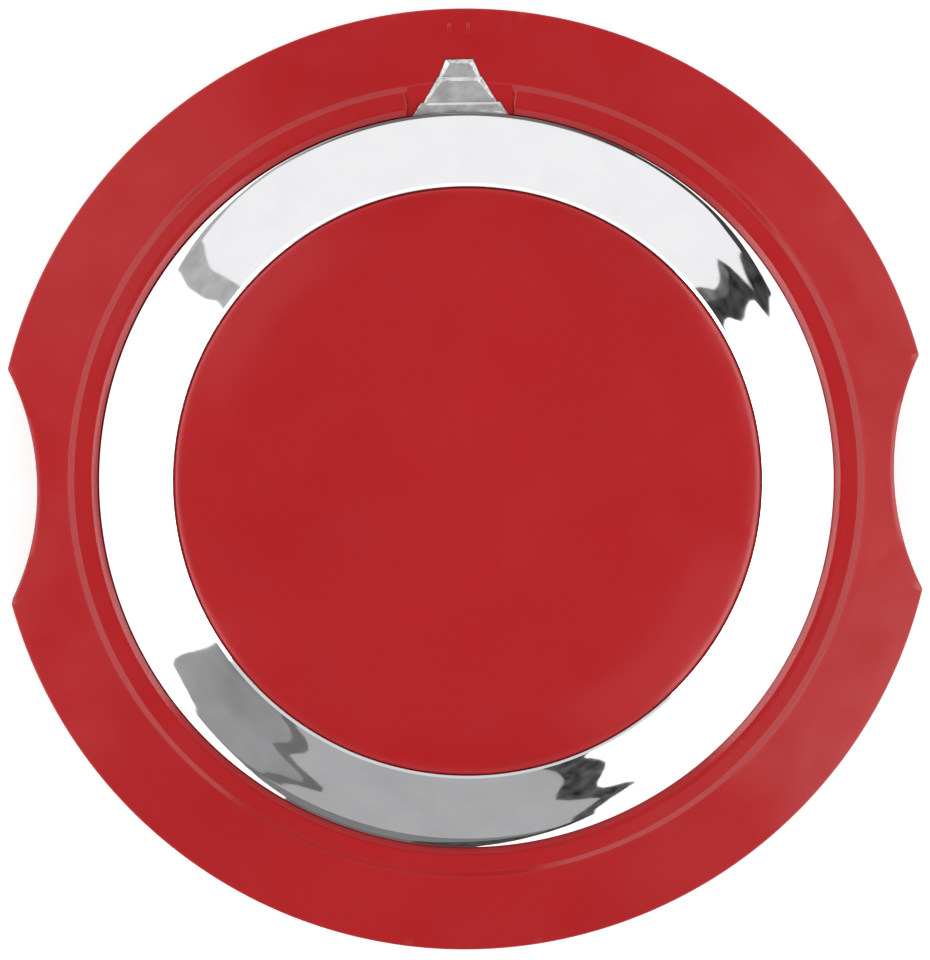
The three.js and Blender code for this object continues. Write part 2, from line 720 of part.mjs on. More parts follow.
const electronics = group(
  piece("led_lens", ledLens(), "clear"),
  piece("status_led", statusLed(), "lamp"),
  piece("circuit_board", circuitBoard(), "board"),
  piece("switch_dome", rubberDome(), "silicone"),
  piece("sound_chip", soundChip(), "black"),
  piece("capacitor", capacitor(), "jacket"),
  piece("speaker_frame", speakerFrame(), "steel"),
  piece("speaker_magnet", speakerMagnet(), "magnet"),
  piece("speaker_cone", speakerCone(), "paper"),
);

const power = group(
  piece("battery_cell_1", batteryCell(CELL_YS[0], 1), "jacket"),
  piece("battery_cell_2", batteryCell(CELL_YS[1], -1), "jacket"),
  piece("contact_bridge", bridgeContact(), "steel"),
  piece("contact_negative", negativeContact(), "steel"),
  piece("contact_positive", positiveContact(), "steel"),
  piece("power_switch_body", switchBody(), "black"),
  piece("power_switch_knob", switchKnob(), "natural"),
);

const fasteners = group(
  piece("battery_door_screw", screw(2.2, 0.9, 1, 4.8), "steel", [0, DOOR_SCREW_Y, 1.5]),
);
CASE_SCREWS.forEach(([x, y], i) =>
  fasteners.add(piece(`case_screw_${i + 1}`, screw(2.8, 2, 1.3, 11.5), "steel", [x, y, 3.1])));
BOARD_SCREWS.forEach(([x, y], i) =>
  fasteners.add(piece(`board_screw_${i + 1}`, screw(2.1, 1.2, 0.95, 6), "steel", [x, y, 13.1])));
FOOT_SPOTS.forEach(([x, y], i) =>
  fasteners.add(piece(`rubber_foot_${i + 1}`, rubberFoot(), "rubber", [x, y, 0])));

const wiring = new THREE.Group();
for (const [name, points] of Object.entries(WIRES)) {
  const route = new THREE.CatmullRomCurve3(points.map((point) => new THREE.Vector3(...point)));
  wiring.add(piece(name, sweep(route, 0.55, 14), name.endsWith("red") ? "redWire" : "black"));
}

const buzzer = new THREE.Group();
buzzer.name = "quiz_buzzer";
buzzer.add(casing, button, electronics, power, fasteners, wiring);

export default buzzer;
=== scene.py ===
"""Quiz buzzer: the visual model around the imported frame, its floor, lights and camera."""

from math import asin, atan, atan2, ceil, copysign, cos, hypot, pi, radians, sin, sqrt, tan

import bmesh
import bpy
from mathutils import Matrix, Vector


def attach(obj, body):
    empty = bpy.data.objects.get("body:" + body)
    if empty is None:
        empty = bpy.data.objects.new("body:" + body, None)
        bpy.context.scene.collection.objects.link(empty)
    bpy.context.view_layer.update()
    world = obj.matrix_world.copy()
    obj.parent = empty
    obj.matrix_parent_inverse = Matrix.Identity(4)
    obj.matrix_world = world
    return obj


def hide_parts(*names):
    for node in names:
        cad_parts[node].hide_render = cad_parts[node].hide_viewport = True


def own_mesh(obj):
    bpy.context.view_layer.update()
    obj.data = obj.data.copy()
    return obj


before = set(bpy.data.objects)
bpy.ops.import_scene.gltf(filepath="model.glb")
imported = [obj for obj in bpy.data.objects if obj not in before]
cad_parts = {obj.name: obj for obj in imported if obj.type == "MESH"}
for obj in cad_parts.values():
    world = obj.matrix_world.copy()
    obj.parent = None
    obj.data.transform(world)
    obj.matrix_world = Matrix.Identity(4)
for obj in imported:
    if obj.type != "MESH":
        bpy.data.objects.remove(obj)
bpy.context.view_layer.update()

MM = 0.001  # all sizes below are in millimetres and are scaled when a mesh is made
FULL_TURN = 2 * pi

# ---- Sizes that repeat the CAD design, mm ----

OUTER_R = 50.0
TOTAL_H = 35.0
SCOOP_DEPTH = 4.5
SCOOP_R = 27.9
SCOOP_TIP_R = 0.5
PLATE_LOW = 1.4
PLATE_TOP = 3.4
PLATE_INSET = 0.4
WALL = 2.0
WALL_LOW = 3.7
EDGE_ROUND = 0.15
SHOULDER_R = 42.0
SHOULDER_TOP = 23.2
SHOULDER_SLOPE = 0.35
SHOULDER_T = 1.8
COLLAR_STEP = 0.5
COLLAR_TOP = 24.12
WELL_R = 39.03
WELL_WALL_R = 41.25
DECK_LOW = 17.0
DECK_TOP = 18.6
GUIDE_BORE_R = 8.9
GUIDE_TOP = 22.4
COLLAR_GAP_HALF = 5.65
RING_R = 38.92
RING_BORE_R = 31.1
RING_LOW = 21.5
RING_WALL = 1.2
RING_ROLL_R = 5.07
RING_ROLL = (36.0, 53.3)  # degrees from level at which the outer roll starts and ends
RING_ROLL_END = (37.79, 26.97)
RING_EDGE_ROUND = 0.3
CAP_R = 31.04
CAP_LOW = 27.9
CAP_T = 2.0
CAP_RIM_R = 28.9
CARRIER_R = 37.4
CARRIER_LOW = 26.0
CARRIER_TOP = 27.6
GUIDE_TUBE_R = 8.6
HOOK_R = 35.0
HOOK_ANGLES = (30, 150, 270)
PEG_SPOT_R = 20.0
PEG_SPOTS = [(PEG_SPOT_R * cos(a), PEG_SPOT_R * sin(a)) for a in map(radians, (90, 210, 330))]
GAP = 0.3
FOOT_H = 2.0
FOOT_R = 4.2
FOOT_SPOTS = ((33.5, 29.0), (-33.5, 29.0), (-33.5, -29.0), (33.5, -29.0))
CUP_R = 4.6
CUP_TOP = 7.0
CUP_FLOOR = 5.4
HEAD_WELL_R = 3.2
DOOR_BOSS_R = 3.2
DOOR_BOSS_TOP = 7.5
BAY_X, BAY_LOW, BAY_HIGH = 26.8, -31.2, -8.8
BAY_ROOF, BAY_TOP = 14.8, 16.0
BAY_WALL = 2.0
DOOR_X, DOOR_LOW, DOOR_HIGH, DOOR_TOP = 28.1, -32.5, -7.5, 2.6
DOOR_SCREW_Y = -4.0
LEDGE_Z = 2.9
TAB_XS = (-14, 14)
CELL_R = 5.25
CELL_LENGTH = 44.5
CELL_Z = 9.2
CELL_YS = (-25.6, -14.4)
SPEAKER_Y = 21.0
SPEAKER_R = 18.0
GRILLE_R = 12.5
GRILLE_STEP = 3.0
GRILLE_SLOT = 1.6
SWITCH_X = -33.0
SWITCH_Y = 4.0
SWITCH_HALF_X = 4.3
SWITCH_HALF_Y = 6.0
SWITCH_TRAVEL = 2.5
BOARD_LOW = 14.6
BOARD_TOP = 16.2
BOARD_SCREWS = ((-21.5, -2.5), (21.5, -2.5), (0, 25))
LED_Y = 43.2
CASE_SCREWS = ((37, 20), (-37, 20), (-37, -20), (37, -20))
LENS_LOW = 19.2
LENS_TIERS = (  # from, to, half width near and far, top
    (WELL_R, 39.95, 5.0, 4.15, 24.4),
    (39.4, 42.65, 4.4, 2.25, 23.9),
    (41.85, 44.5, 2.55, 1.4, 23.3),
)
LENS_SLOPES = (0.25, 0.42, 0.42)
LENS_FIT = 0.06  # how far each tier's outline stands out from its nominal size


# ---- Mesh tools ----

def link(obj):
    bpy.context.scene.collection.objects.link(obj)
    return obj


def finish_mesh(mesh, sharp_degrees=32):
    """Merges what coincides, turns the faces outwards and shades smoothly between sharp edges."""
    bm = bmesh.new()
    bm.from_mesh(mesh)
    bmesh.ops.remove_doubles(bm, verts=bm.verts, dist=1e-7)
    bmesh.ops.dissolve_degenerate(bm, edges=bm.edges, dist=1e-8)
    bmesh.ops.recalc_face_normals(bm, faces=bm.faces)
    for face in bm.faces:
        face.smooth = True
    bm.to_mesh(mesh)
    bm.free()
    mesh.set_sharp_from_angle(angle=radians(sharp_degrees))
    return mesh


def make_object(vertices, faces, sharp_degrees=32):
    mesh = bpy.data.meshes.new("piece")
    mesh.from_pydata([tuple(c * MM for c in v) for v in vertices], [], faces)
    return link(bpy.data.objects.new("piece", finish_mesh(mesh, sharp_degrees)))


def rounded(points, closed=False, arc_steps=6):
    """A smooth outline from (x, y, corner radius) points: each corner with a radius becomes an arc."""
    out = []
    count = len(points)
    for i, (x, y, radius) in enumerate(points):
        here = Vector((x, y))
        if radius <= 0 or not closed and i in (0, count - 1):
            out.append((x, y))
            continue
        before = Vector(points[i - 1][:2]) - here
        after = Vector(points[(i + 1) % count][:2]) - here
        a, b = before.normalized(), after.normalized()
        half = a.angle(b) / 2
        reach = min(radius / tan(half), 0.49 * before.length, 0.49 * after.length)
        r = reach * tan(half)
        centre = here + (a + b).normalized() * (r / sin(half))
        start, end = here + a * reach - centre, here + b * reach - centre
        sweep = start.angle_signed(end)
        for k in range(arc_steps + 1):
            out.append(tuple(centre + Matrix.Rotation(-sweep * k / arc_steps, 2) @ start))
    return out


def bulged(x0, y0, x1, y1, sagitta, steps=10):
    """Points between two ends along a shallow arc that stands sagitta to the left of the line."""
    dx, dy = x1 - x0, y1 - y0
    length = hypot(dx, dy)
    nx, ny = -dy / length, dx / length
    lifts = [(t, 4 * sagitta * t * (1 - t)) for t in (k / steps for k in range(1, steps))]
    return [(x0 + dx * t + nx * lift, y0 + dy * t + ny * lift) for t, lift in lifts]


def polar(r, angle, x=0, y=0):
    return x + r * cos(angle), y + r * sin(angle)


def quarter(steps):
    """(sine, cosine) pairs round a quarter turn."""
    angles = [pi / 2 * k / max(1, steps) for k in range(steps + 1)]
    return [(sin(a), cos(a)) for a in angles]


def skin(pairs):
    """Faces between pairs of rings of vertex numbers; a ring with one number closes to a point."""
    faces = []
    for low, high in pairs:
        columns = max(len(low), len(high))
        for k in range(columns):
            n = (k + 1) % columns
            corners = [low[k % len(low)], low[n % len(low)], high[n % len(high)], high[k % len(high)]]
            face = list(dict.fromkeys(corners))
            if len(face) > 2:
                faces.append(face)
    return faces


def revolve(profile, segments=192, centre=(0, 0), sharp_degrees=32, closed=False):
    """A solid of revolution about a vertical axis, from (radius, height) points."""
    vertices, rings = [], []
    for r, z in profile:
        if r < 1e-6:
            rings.append([len(vertices)])
            vertices.append((centre[0], centre[1], z))
            continue
        rings.append(list(range(len(vertices), len(vertices) + segments)))
        vertices += [(*polar(r, FULL_TURN * k / segments, *centre), z) for k in range(segments)]
    pairs = list(zip(rings, rings[1:]))
    if closed:
        pairs.append((rings[-1], rings[0]))
    return make_object(vertices, skin(pairs), sharp_degrees)


def loft_rings(levels, closed):
    """Vertices and quads through level outlines with equal point counts."""
    count = len(levels[0])
    rings = [list(range(i * count, (i + 1) * count)) for i in range(len(levels))]
    pairs = list(zip(rings, rings[1:])) + [(rings[-1], rings[0])] * closed
    return [p for ring in levels for p in ring], skin(pairs)


def block(xs, ys, zs, edge=0.3):
    """A rectangular piece with rounded edges."""
    bm = bmesh.new()
    bmesh.ops.create_cube(bm, size=1)
    size = Vector((xs[1] - xs[0], ys[1] - ys[0], zs[1] - zs[0]))
    centre = Vector((sum(xs) / 2, sum(ys) / 2, sum(zs) / 2))
    for v in bm.verts:
        v.co = Vector((v.co.x * size.x, v.co.y * size.y, v.co.z * size.z)) + centre
    if edge:
        bmesh.ops.bevel(bm, geom=bm.edges, offset=edge, segments=3, profile=0.5, affect="EDGES")
    bmesh.ops.scale(bm, vec=(MM, MM, MM), verts=bm.verts)
    mesh = bpy.data.meshes.new("piece")
    bm.to_mesh(mesh)
    bm.free()
    return link(bpy.data.objects.new("piece", finish_mesh(mesh, 50)))


def box(x, y, half_x, half_y, zs, edge):
    return block((x - half_x, x + half_x), (y - half_y, y + half_y), zs, edge)


def joined(pieces):
    """One object that holds the meshes of several."""
    bpy.ops.object.select_all(action="DESELECT")
    for piece in pieces:
        piece.select_set(True)
    bpy.context.view_layer.objects.active = pieces[0]
    bpy.ops.object.join()
    return pieces[0]


def combine(target, others, operation):
    """Applies booleans with other objects, which are then removed."""
    for other in others:
        modifier = target.modifiers.new("boolean", "BOOLEAN")
        modifier.operation = operation
        modifier.solver = "EXACT"
        modifier.object = other
        graph = bpy.context.evaluated_depsgraph_get()
        mesh = bpy.data.meshes.new_from_object(target.evaluated_get(graph))
        target.modifiers.clear()
        old, target.data = target.data, mesh
        bpy.data.meshes.remove(old)
        bpy.data.objects.remove(other)
    return target


def unite(target, *others):
    return combine(target, others, "UNION")


def cut(target, *others):
    return combine(target, others, "DIFFERENCE")


def extruded(outline, low, high):
    """A sharp-edged prism, for booleans."""
    count = len(outline)
    vertices = [(x, y, low) for x, y in outline] + [(x, y, high) for x, y in outline]
    faces = [tuple(reversed(range(count))), tuple(range(count, 2 * count))]
    faces += [(k, (k + 1) % count, (k + 1) % count + count, k + count) for k in range(count)]
    return make_object(vertices, faces)


def circle(x, y, r, steps=48):
    return [polar(r, FULL_TURN * k / steps, x, y) for k in range(steps)]


def rectangle(x0, x1, y0, y1, corner, arc_steps=5):
    return rounded([(x0, y0, corner), (x1, y0, corner), (x1, y1, corner), (x0, y1, corner)],
                   closed=True, arc_steps=arc_steps)


# ---- Materials ----

def add_node(tree, kind, output, **inputs):
    """One output of a new node whose inputs are given as numbers or as other nodes' outputs."""
    node = tree.nodes.new("ShaderNode" + kind)
    for name, value in inputs.items():
        socket = node.inputs[name.replace("_", " ")]
        if hasattr(value, "links"):
            tree.links.new(value, socket)
        else:
            socket.default_value = value
    return node.outputs[output]


class Shader:
    """A Principled material whose detail comes from procedural nodes in object space."""

    def __init__(self, name, **uniform):
        self.material = bpy.data.materials.new(name)
        self.material.use_nodes = True
        self.tree = self.material.node_tree
        self.principled = self.tree.nodes["Principled BSDF"]
        self.place = self.add("TexCoord", "Object")
        for socket, value in uniform.items():
            self.principled.inputs[socket.replace("_", " ")].default_value = value
        self.normal = None

    def add(self, kind, output, **inputs):
        return add_node(self.tree, kind, output, **inputs)

    def noise(self, scale, detail=3.0, roughness=0.5):
        return self.add("TexNoise", "Fac", Scale=scale, Detail=detail, Roughness=roughness, Vector=self.place)

    def spread(self, value, low, high):
        """Maps a texture's middle range to low..high."""
        return self.add("MapRange", "Result", Value=value, From_Min=0.3, From_Max=0.7, To_Min=low,
                        To_Max=high)

    def mix(self, factor, first, second):
        node = self.tree.nodes.new("ShaderNodeMix")
        node.data_type = "RGBA"
        node.inputs[6].default_value = (*first, 1)
        node.inputs[7].default_value = (*second, 1)
        self.tree.links.new(factor, node.inputs[0])
        return node.outputs[2]

    def set(self, socket, output):
        self.tree.links.new(output, self.principled.inputs[socket])

    def bump(self, height, distance):
        """Adds a layer of relief; distance is in millimetres."""
        under = {} if self.normal is None else {"Normal": self.normal}
        self.normal = self.add("Bump", "Normal", Strength=1, Distance=distance * MM, Height=height, **under)
        self.set("Normal", self.normal)


def surface(name, tints, tint_noise, rough, rough_noise, *reliefs, **uniform):
    """Colour clouds between two tints, uneven gloss, and layers of relief as (noise, depth in mm)."""
    s = Shader(name, **uniform)
    s.set("Base Color", s.mix(s.spread(s.noise(*tint_noise), 0, 1), *tints))
    s.set("Roughness", s.spread(s.noise(*rough_noise), *rough))
    for noise, depth in reliefs:
        s.bump(s.noise(*noise), depth)
    return s.material


def gloss_red(name, base):
    """Polished ABS with fine scuffs and a little orange peel."""
    return surface(name, (base, tuple(c * 0.93 for c in base)), (45, 2), (0.13, 0.2), (160, 4, 0.6),
                   ((420, 2), 0.004), ((5200, 2), 0.0006))


def textured_plastic(name, base, low_rough, high_rough, grain=0.02, grain_scale=2600):
    """Spark-eroded mould texture."""
    return surface(name, (base, tuple(min(1, c * 1.18) for c in base)), (90, 4), (low_rough, high_rough),
                   (900, 3), ((grain_scale, 3, 0.6), grain))


def metal(name, base, low_rough, high_rough):
    return surface(name, (base, tuple(c * 0.85 for c in base)), (700, 4), (low_rough, high_rough),
                   (1500, 4), ((2200, 3), 0.002), Metallic=1.0)


RED = (0.457, 0.0105, 0.0135)
MATERIALS = {
    "housing_red": gloss_red("housing_red_abs", RED),
    "cap_red": gloss_red("cap_red_abs", RED),
    # Plating on moulded plastic: slightly wavy, with fine handling marks.
    "chrome_trim": surface("chrome_plating", ((0.92, 0.92, 0.93), (0.88, 0.885, 0.9)), (300, 3),
                           (0.025, 0.06), (700, 5, 0.65), ((110, 1.5), 0.012), ((900, 2), 0.0006),
                           Metallic=1.0),
    # Clear acrylic over a silvered reflector. Its colour is mottled between pale and grey as painted broken
    # reflections, and its bumps also break up the real reflections.
    "lens_clear": surface("lens_acrylic", ((0.92, 0.92, 0.92), (0.55, 0.56, 0.55)), (420, 3),
                          (0.1, 0.22), (1200, 3), ((800, 2), 0.3),
                          IOR=1.49, Metallic=0.55, Coat_Weight=0.6, Coat_Roughness=0.04),
}
for material_slot, *look in (  # colour, roughness from and to, relief in mm, scale of the relief
    ("base_black", (0.013, 0.013, 0.014), 0.42, 0.55),
    ("carrier_natural", (0.62, 0.6, 0.53), 0.4, 0.5, 0.006),
    ("dome_silicone", (0.22, 0.225, 0.235), 0.55, 0.7, 0.01),
    ("board_green", (0.012, 0.11, 0.045), 0.3, 0.42, 0.004, 1400),
    ("chip_black", (0.015, 0.015, 0.016), 0.45, 0.6, 0.006),
    ("capacitor_sleeve", (0.02, 0.025, 0.06), 0.2, 0.3, 0.003),
    ("led_red", (0.6, 0.03, 0.02), 0.08, 0.14, 0.001),
    ("speaker_ferrite", (0.03, 0.03, 0.032), 0.5, 0.7, 0.02),
    ("speaker_paper", (0.025, 0.023, 0.02), 0.75, 0.9, 0.04, 1800),
    ("cell_jacket", (0.03, 0.035, 0.05), 0.18, 0.28, 0.002),
    ("switch_black", (0.018, 0.018, 0.019), 0.4, 0.55, 0.01),
    ("knob_white", (0.66, 0.64, 0.6), 0.35, 0.45, 0.006),
    ("foot_rubber", (0.02, 0.02, 0.02), 0.7, 0.85, 0.03, 3200),
    ("wire_red", (0.42, 0.016, 0.014), 0.35, 0.45, 0.003),
    ("wire_black", (0.014, 0.014, 0.014), 0.35, 0.45, 0.003),
):
    MATERIALS[material_slot] = textured_plastic(material_slot, *look)
for material_slot, *look in (  # colour, roughness from and to
    ("spring_steel", (0.62, 0.62, 0.63), 0.2, 0.35),
    ("speaker_steel", (0.55, 0.55, 0.56), 0.25, 0.4),
    ("contact_nickel", (0.66, 0.63, 0.58), 0.15, 0.3),
    ("screw_zinc", (0.6, 0.6, 0.58), 0.22, 0.4),
):
    MATERIALS[material_slot] = metal(material_slot, *look)


def placed(name, obj, slot, node, body="base", sharp=None, weighted=False):
    """Finishes and names a piece; hangs it on the empty of the body it rides on, gives it the material of its
    slot and hides the CAD node it stands for."""
    if sharp:
        finish_mesh(obj.data, sharp)
    if weighted:
        obj.modifiers.new("shading", "WEIGHTED_NORMAL").keep_sharp = True
    obj.name = name
    obj.data.materials.append(MATERIALS[slot])
    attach(obj, body)
    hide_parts(node)
    return obj


# ---- Camera: nearly straight above and a long way off, turned as the buzzer lies in its picture ----

FRAME_HEIGHT = 101.98  # what the picture's long side covers
AIM = Vector((-0.05, -0.08, 20.4))
FOCAL = 600.0
SENSOR = 36.0
LIE_DEGREES = 0.9  # how far the buzzer is turned anticlockwise
LEAN_X = -1.28  # how far the camera leans from the vertical, in degrees, towards +X and +Y
LEAN_Y = 1.11


def make_camera():
    data = bpy.data.cameras.new("camera")
    data.lens = FOCAL
    data.sensor_width = SENSOR
    data.clip_end = 20
    camera = link(bpy.data.objects.new("camera", data))
    distance = FRAME_HEIGHT * FOCAL / SENSOR
    lean = Vector((tan(radians(LEAN_X)), tan(radians(LEAN_Y)), 1)).normalized()
    camera.location = (AIM + lean * distance) * MM
    upward = Vector((sin(radians(LIE_DEGREES)), cos(radians(LIE_DEGREES)), 0))
    right = upward.cross(lean).normalized()
    up = lean.cross(right)
    camera.rotation_euler = Matrix((right, up, lean)).transposed().to_euler()
    bpy.context.scene.camera = camera


# ---- Studio: pale floor, one large soft light above, and cards that only reflections see ----

STUDIO_CENTRE_Z = 28.0
CARD_DISTANCE = 700.0
CARD_FOOT, CARD_TOP = -60, 42  # elevations, degrees
STRIP_FOOT, STRIP_TOP = 35, 43
FILL_FOOT, FILL_TOP = 46, 60
WHITE, STRIP_WHITE, FILL = 1.35, 4.4, 0.42  # radiances
BLACK = 0.015


def scenery(name, corners, faces, material, hidden_from):
    mesh = bpy.data.meshes.new(name)
    mesh.from_pydata(corners, [], faces)
    mesh.materials.append(material)
    obj = link(bpy.data.objects.new(name, mesh))
    for ray in hidden_from:
        setattr(obj, "visible_" + ray, False)


def azimuth_at(edge, elevation):
    """The azimuth of an upright edge at a height, on a smooth curve that doesn't overshoot its points."""
    elevation = min(edge[0][0], max(edge[-1][0], elevation))
    if len(edge) == 1:
        return edge[0][1]
    steps = [(a1 - a0) / (e1 - e0) for (e0, a0), (e1, a1) in zip(edge, edge[1:])]
    k = next(i for i, (e, _) in enumerate(edge[1:]) if elevation >= e)

    def slope(i):
        if i in (0, len(edge) - 1) or steps[i - 1] * steps[i] <= 0:
            return 0
        return 2 * steps[i - 1] * steps[i] / (steps[i - 1] + steps[i])

    (e0, a0), (e1, a1) = edge[k], edge[k + 1]
    width, t = e1 - e0, (elevation - e0) / (e1 - e0)
    bend = (2 * t ** 3 - 3 * t ** 2 + 1) * a0 + (3 * t ** 2 - 2 * t ** 3) * a1
    return bend + (t ** 3 - 2 * t ** 2 + t) * width * slope(k) + (t ** 3 - t ** 2) * width * slope(k + 1)


def card(name, start, end, low, high, radiance, low_radiance=None, distance=CARD_DISTANCE, grain_scale=6):
    """A glowing curved card for reflections, between two upright edges. An edge is a fixed azimuth or
    (elevation, azimuth) points from the top down, in degrees."""
    start, end = ([(0, e)] if isinstance(e, (int, float)) else e for e in (start, end))
    rows = ceil((high - low) / 1.5)
    heights = [low + (high - low) * k / rows for k in range(rows + 1)]
    spans = [(azimuth_at(start, h), azimuth_at(end, h)) for h in heights]
    columns = ceil(max(b - a for a, b in spans) / 5)
    corners, faces = [], []
    for height, (a0, a1) in zip(heights, spans):
        e = radians(height)
        for k in range(columns + 1):
            a = radians(a0 + max(0.02, a1 - a0) * k / columns)
            corners.append((distance * cos(a) * cos(e) * MM, distance * sin(a) * cos(e) * MM,
                            (distance * sin(e) + STUDIO_CENTRE_Z) * MM))
    for row in range(rows):
        for k in range(columns):
            i = row * (columns + 1) + k
            faces.append((i, i + 1, i + columns + 2, i + columns + 1))
    s = Shader(name)
    dimmest = radiance if low_radiance is None else low_radiance
    glow = s.add("Emission", 0, Strength=s.spread(s.noise(grain_scale, 2), dimmest, radiance))
    s.tree.links.new(glow, s.tree.nodes["Material Output"].inputs["Surface"])
    s.tree.nodes.remove(s.principled)
    scenery(name, corners, faces, s.material, ("camera", "diffuse", "shadow", "transmission"))


def overhead_light(radiance):
    """The light that matt colour sees; polished surfaces see the cards instead."""
    size, height = 1.6, 1.1
    data = bpy.data.lights.new("overhead", "AREA")
    data.shape = "RECTANGLE"
    data.size = data.size_y = size
    data.energy = radiance * pi * size * size
    light = link(bpy.data.objects.new("overhead", data))
    light.location = (0, 0, height)
    light.visible_camera = False
    light.visible_glossy = False


def make_world():
    """Grey all round, darker below and overhead; the floor lights matt surfaces from below."""
    world = bpy.data.worlds.new("studio")
    world.use_nodes = True
    bpy.context.scene.world = world
    tree = world.node_tree
    height = add_node(tree, "SeparateXYZ", "Z", Vector=add_node(tree, "TexCoord", "Generated"))
    grey = add_node(tree, "ValToRGB", 0, Fac=add_node(tree, "MapRange", "Result", Value=height, From_Min=-1))
    ramp = grey.node.color_ramp
    ramp.elements.remove(ramp.elements[1])
    stops = ((-1, 0.12), (-0.3, 0.14), (0.0, 0.22), (0.2, 0.42), (0.68, 0.42), (0.74, 0.12), (1, 0.06))
    for i, (z, tone) in enumerate(stops):
        element = ramp.elements.new((z + 1) / 2) if i else ramp.elements[0]
        element.position = (z + 1) / 2
        element.color = (tone, tone, tone, 1)
    tree.links.new(grey, tree.nodes["Background"].inputs["Color"])


def make_floor():
    s = Shader("floor_white", Roughness=0.9)
    s.set("Base Color", s.mix(s.noise(8), (0.86, 0.86, 0.86), (0.84, 0.84, 0.84)))
    s.principled.inputs["Emission Color"].default_value = (1, 1, 1, 1)
    s.principled.inputs["Emission Strength"].default_value = 0.5
    size = 12.0
    corners = [(-size, -size, 0), (size, -size, 0), (size, size, 0), (-size, size, 0)]
    scenery("floor", corners, [(0, 1, 2, 3)], s.material, ["glossy"])


# Edges between the cards, as (elevation, azimuth) points, anticlockwise round the object from the right.
RIGHT_BACK = [(33, 27), (31, 29), (29, 29.5), (25, 27.5), (22.5, 29), (19.5, 30), (17.5, 29.5),
              (16, 24.5), (15, 27), (6, 33), (-9.5, 42), (-15, 49), (-19.5, 60)]
PATCH_MIDDLE = [(31, 34), (28.5, 33.5), (25, 33), (22, 34.5), (20, 36)]
BACK_RIGHT = [(32.5, 37.5), (30, 37), (27, 35), (23.5, 36), (20, 39), (18, 35.5), (16.5, 31),
              (15.5, 34.5), (11, 39), (-3, 46.5), (-9, 59.5), (-19.5, 75)]
BACK_END = [(33.5, 138.5), (28, 139), (23, 139.5), (17.5, 138), (10.5, 134.5), (-2, 127.5),
            (-7.5, 120.5), (-19.5, 105)]
BACK_LEFT = [(33.5, 144), (30.5, 143.5), (26.5, 144.5), (21, 144.5), (16, 143.5), (7.5, 140),
             (-0.5, 135.5), (-6, 130), (-14, 122.5), (-20, 116)]
LEFT_FRONT = [(33, 213.5), (31.5, 213.5), (24, 212.5), (20, 212), (17.5, 212), (16, 213.5),
              (15.5, 216.5), (14.5, 220), (10, 225.5), (2, 232.5), (-5, 236.5), (-12, 241)]
FRONT_SPLIT = [(32.5, 234), (31, 235), (29.5, 237.5), (26.5, 238.5), (22.5, 236), (19.5, 241.5),
               (17, 244.5), (15.5, 241), (14.5, 239), (7.5, 234.5)]
FRONT_END = [(31.5, 285), (29, 287), (25.5, 288), (22.5, 286.5), (20, 285.5), (18, 288), (16, 292),
             (14.5, 293), (14, 291), (11.5, 286.5), (5.5, 282), (0.5, 272), (-12.5, 262)]
FRONT_RIGHT = [(32, 294), (31, 292.5), (29, 294), (25.5, 296), (22.5, 294.5), (20, 293), (18, 294),
               (16, 298.5), (14.8, 299), (14.2, 296.5), (13, 292), (4.5, 286.5), (-3, 281),
               (-10.5, 276.5), (-19.5, 272)]


def make_studio():
    make_world()
    make_floor()
    overhead_light(1.9)
    turned_on = [(e, a - 360) for e, a in FRONT_RIGHT]
    card("card_right", turned_on, RIGHT_BACK, CARD_FOOT, CARD_TOP, WHITE)
    card("card_left", BACK_LEFT, LEFT_FRONT, CARD_FOOT, CARD_TOP, WHITE)
    card("card_behind", BACK_RIGHT, BACK_END, -8, CARD_TOP, 0.95)
    card("card_front_a", LEFT_FRONT, FRONT_SPLIT, -10, CARD_TOP, 0.36, 0.23)
    card("card_front_b", FRONT_SPLIT, FRONT_END, -10, CARD_TOP, 0.46, 0.41)
    card("card_patch_left", BACK_END, BACK_LEFT, CARD_FOOT, CARD_TOP, 0.52, 0.4, grain_scale=30)
    card("card_patch_right", RIGHT_BACK, BACK_RIGHT, CARD_FOOT, CARD_TOP, BLACK, 0.08, grain_scale=40)
    card("card_patch_front", FRONT_END, FRONT_RIGHT, -40, CARD_TOP, BLACK, 0.12, grain_scale=40)
    nearer = CARD_DISTANCE - 15
    card("card_patch_grey", PATCH_MIDDLE, BACK_RIGHT, 20, CARD_TOP, 0.24, 0.08, nearer, 40)
    card("card_front_low", LEFT_FRONT, FRONT_END, -10, 9.5, 0.235, 0.2, nearer)
    squiggle = [[(e, a + side * 1.8) for e, a in FRONT_SPLIT] for side in (-1, 1)]
    card("card_front_squiggle", *squiggle, 0, CARD_TOP, 0.18, 0.13, nearer)
    nearest = CARD_DISTANCE - 30
    card("card_strip_right", -47, 42, STRIP_FOOT, STRIP_TOP, STRIP_WHITE, distance=nearest)
    card("card_strip_back", 42, 125, STRIP_FOOT - 0.5, STRIP_TOP, 1.15, distance=nearest)
    card("card_strip_left", 125, 218, STRIP_FOOT, STRIP_TOP, STRIP_WHITE, distance=nearest)
    card("card_strip_front", 218, 313, STRIP_FOOT - 0.5, STRIP_TOP, 0.72, distance=nearest)
    card("card_fill_left", 118, 162, FILL_FOOT, FILL_TOP, FILL)
    card("card_fill_right", -66, -18, FILL_FOOT, FILL_TOP, FILL)
    bpy.context.scene.view_settings.view_transform = "Standard"


# ---- Outlines shared by several pieces ----

def arc(cx, cy, r, start, end, steps):
    return [polar(r, start + (end - start) * k / steps, cx, cy) for k in range(steps + 1)]


GAP_ANGLE = asin(COLLAR_GAP_HALF / 40.7)
END_STEPS = (-0.012, -0.0045, -0.0015, 0.0015, 0.0045, 0.012)  # columns that round the collar's ends


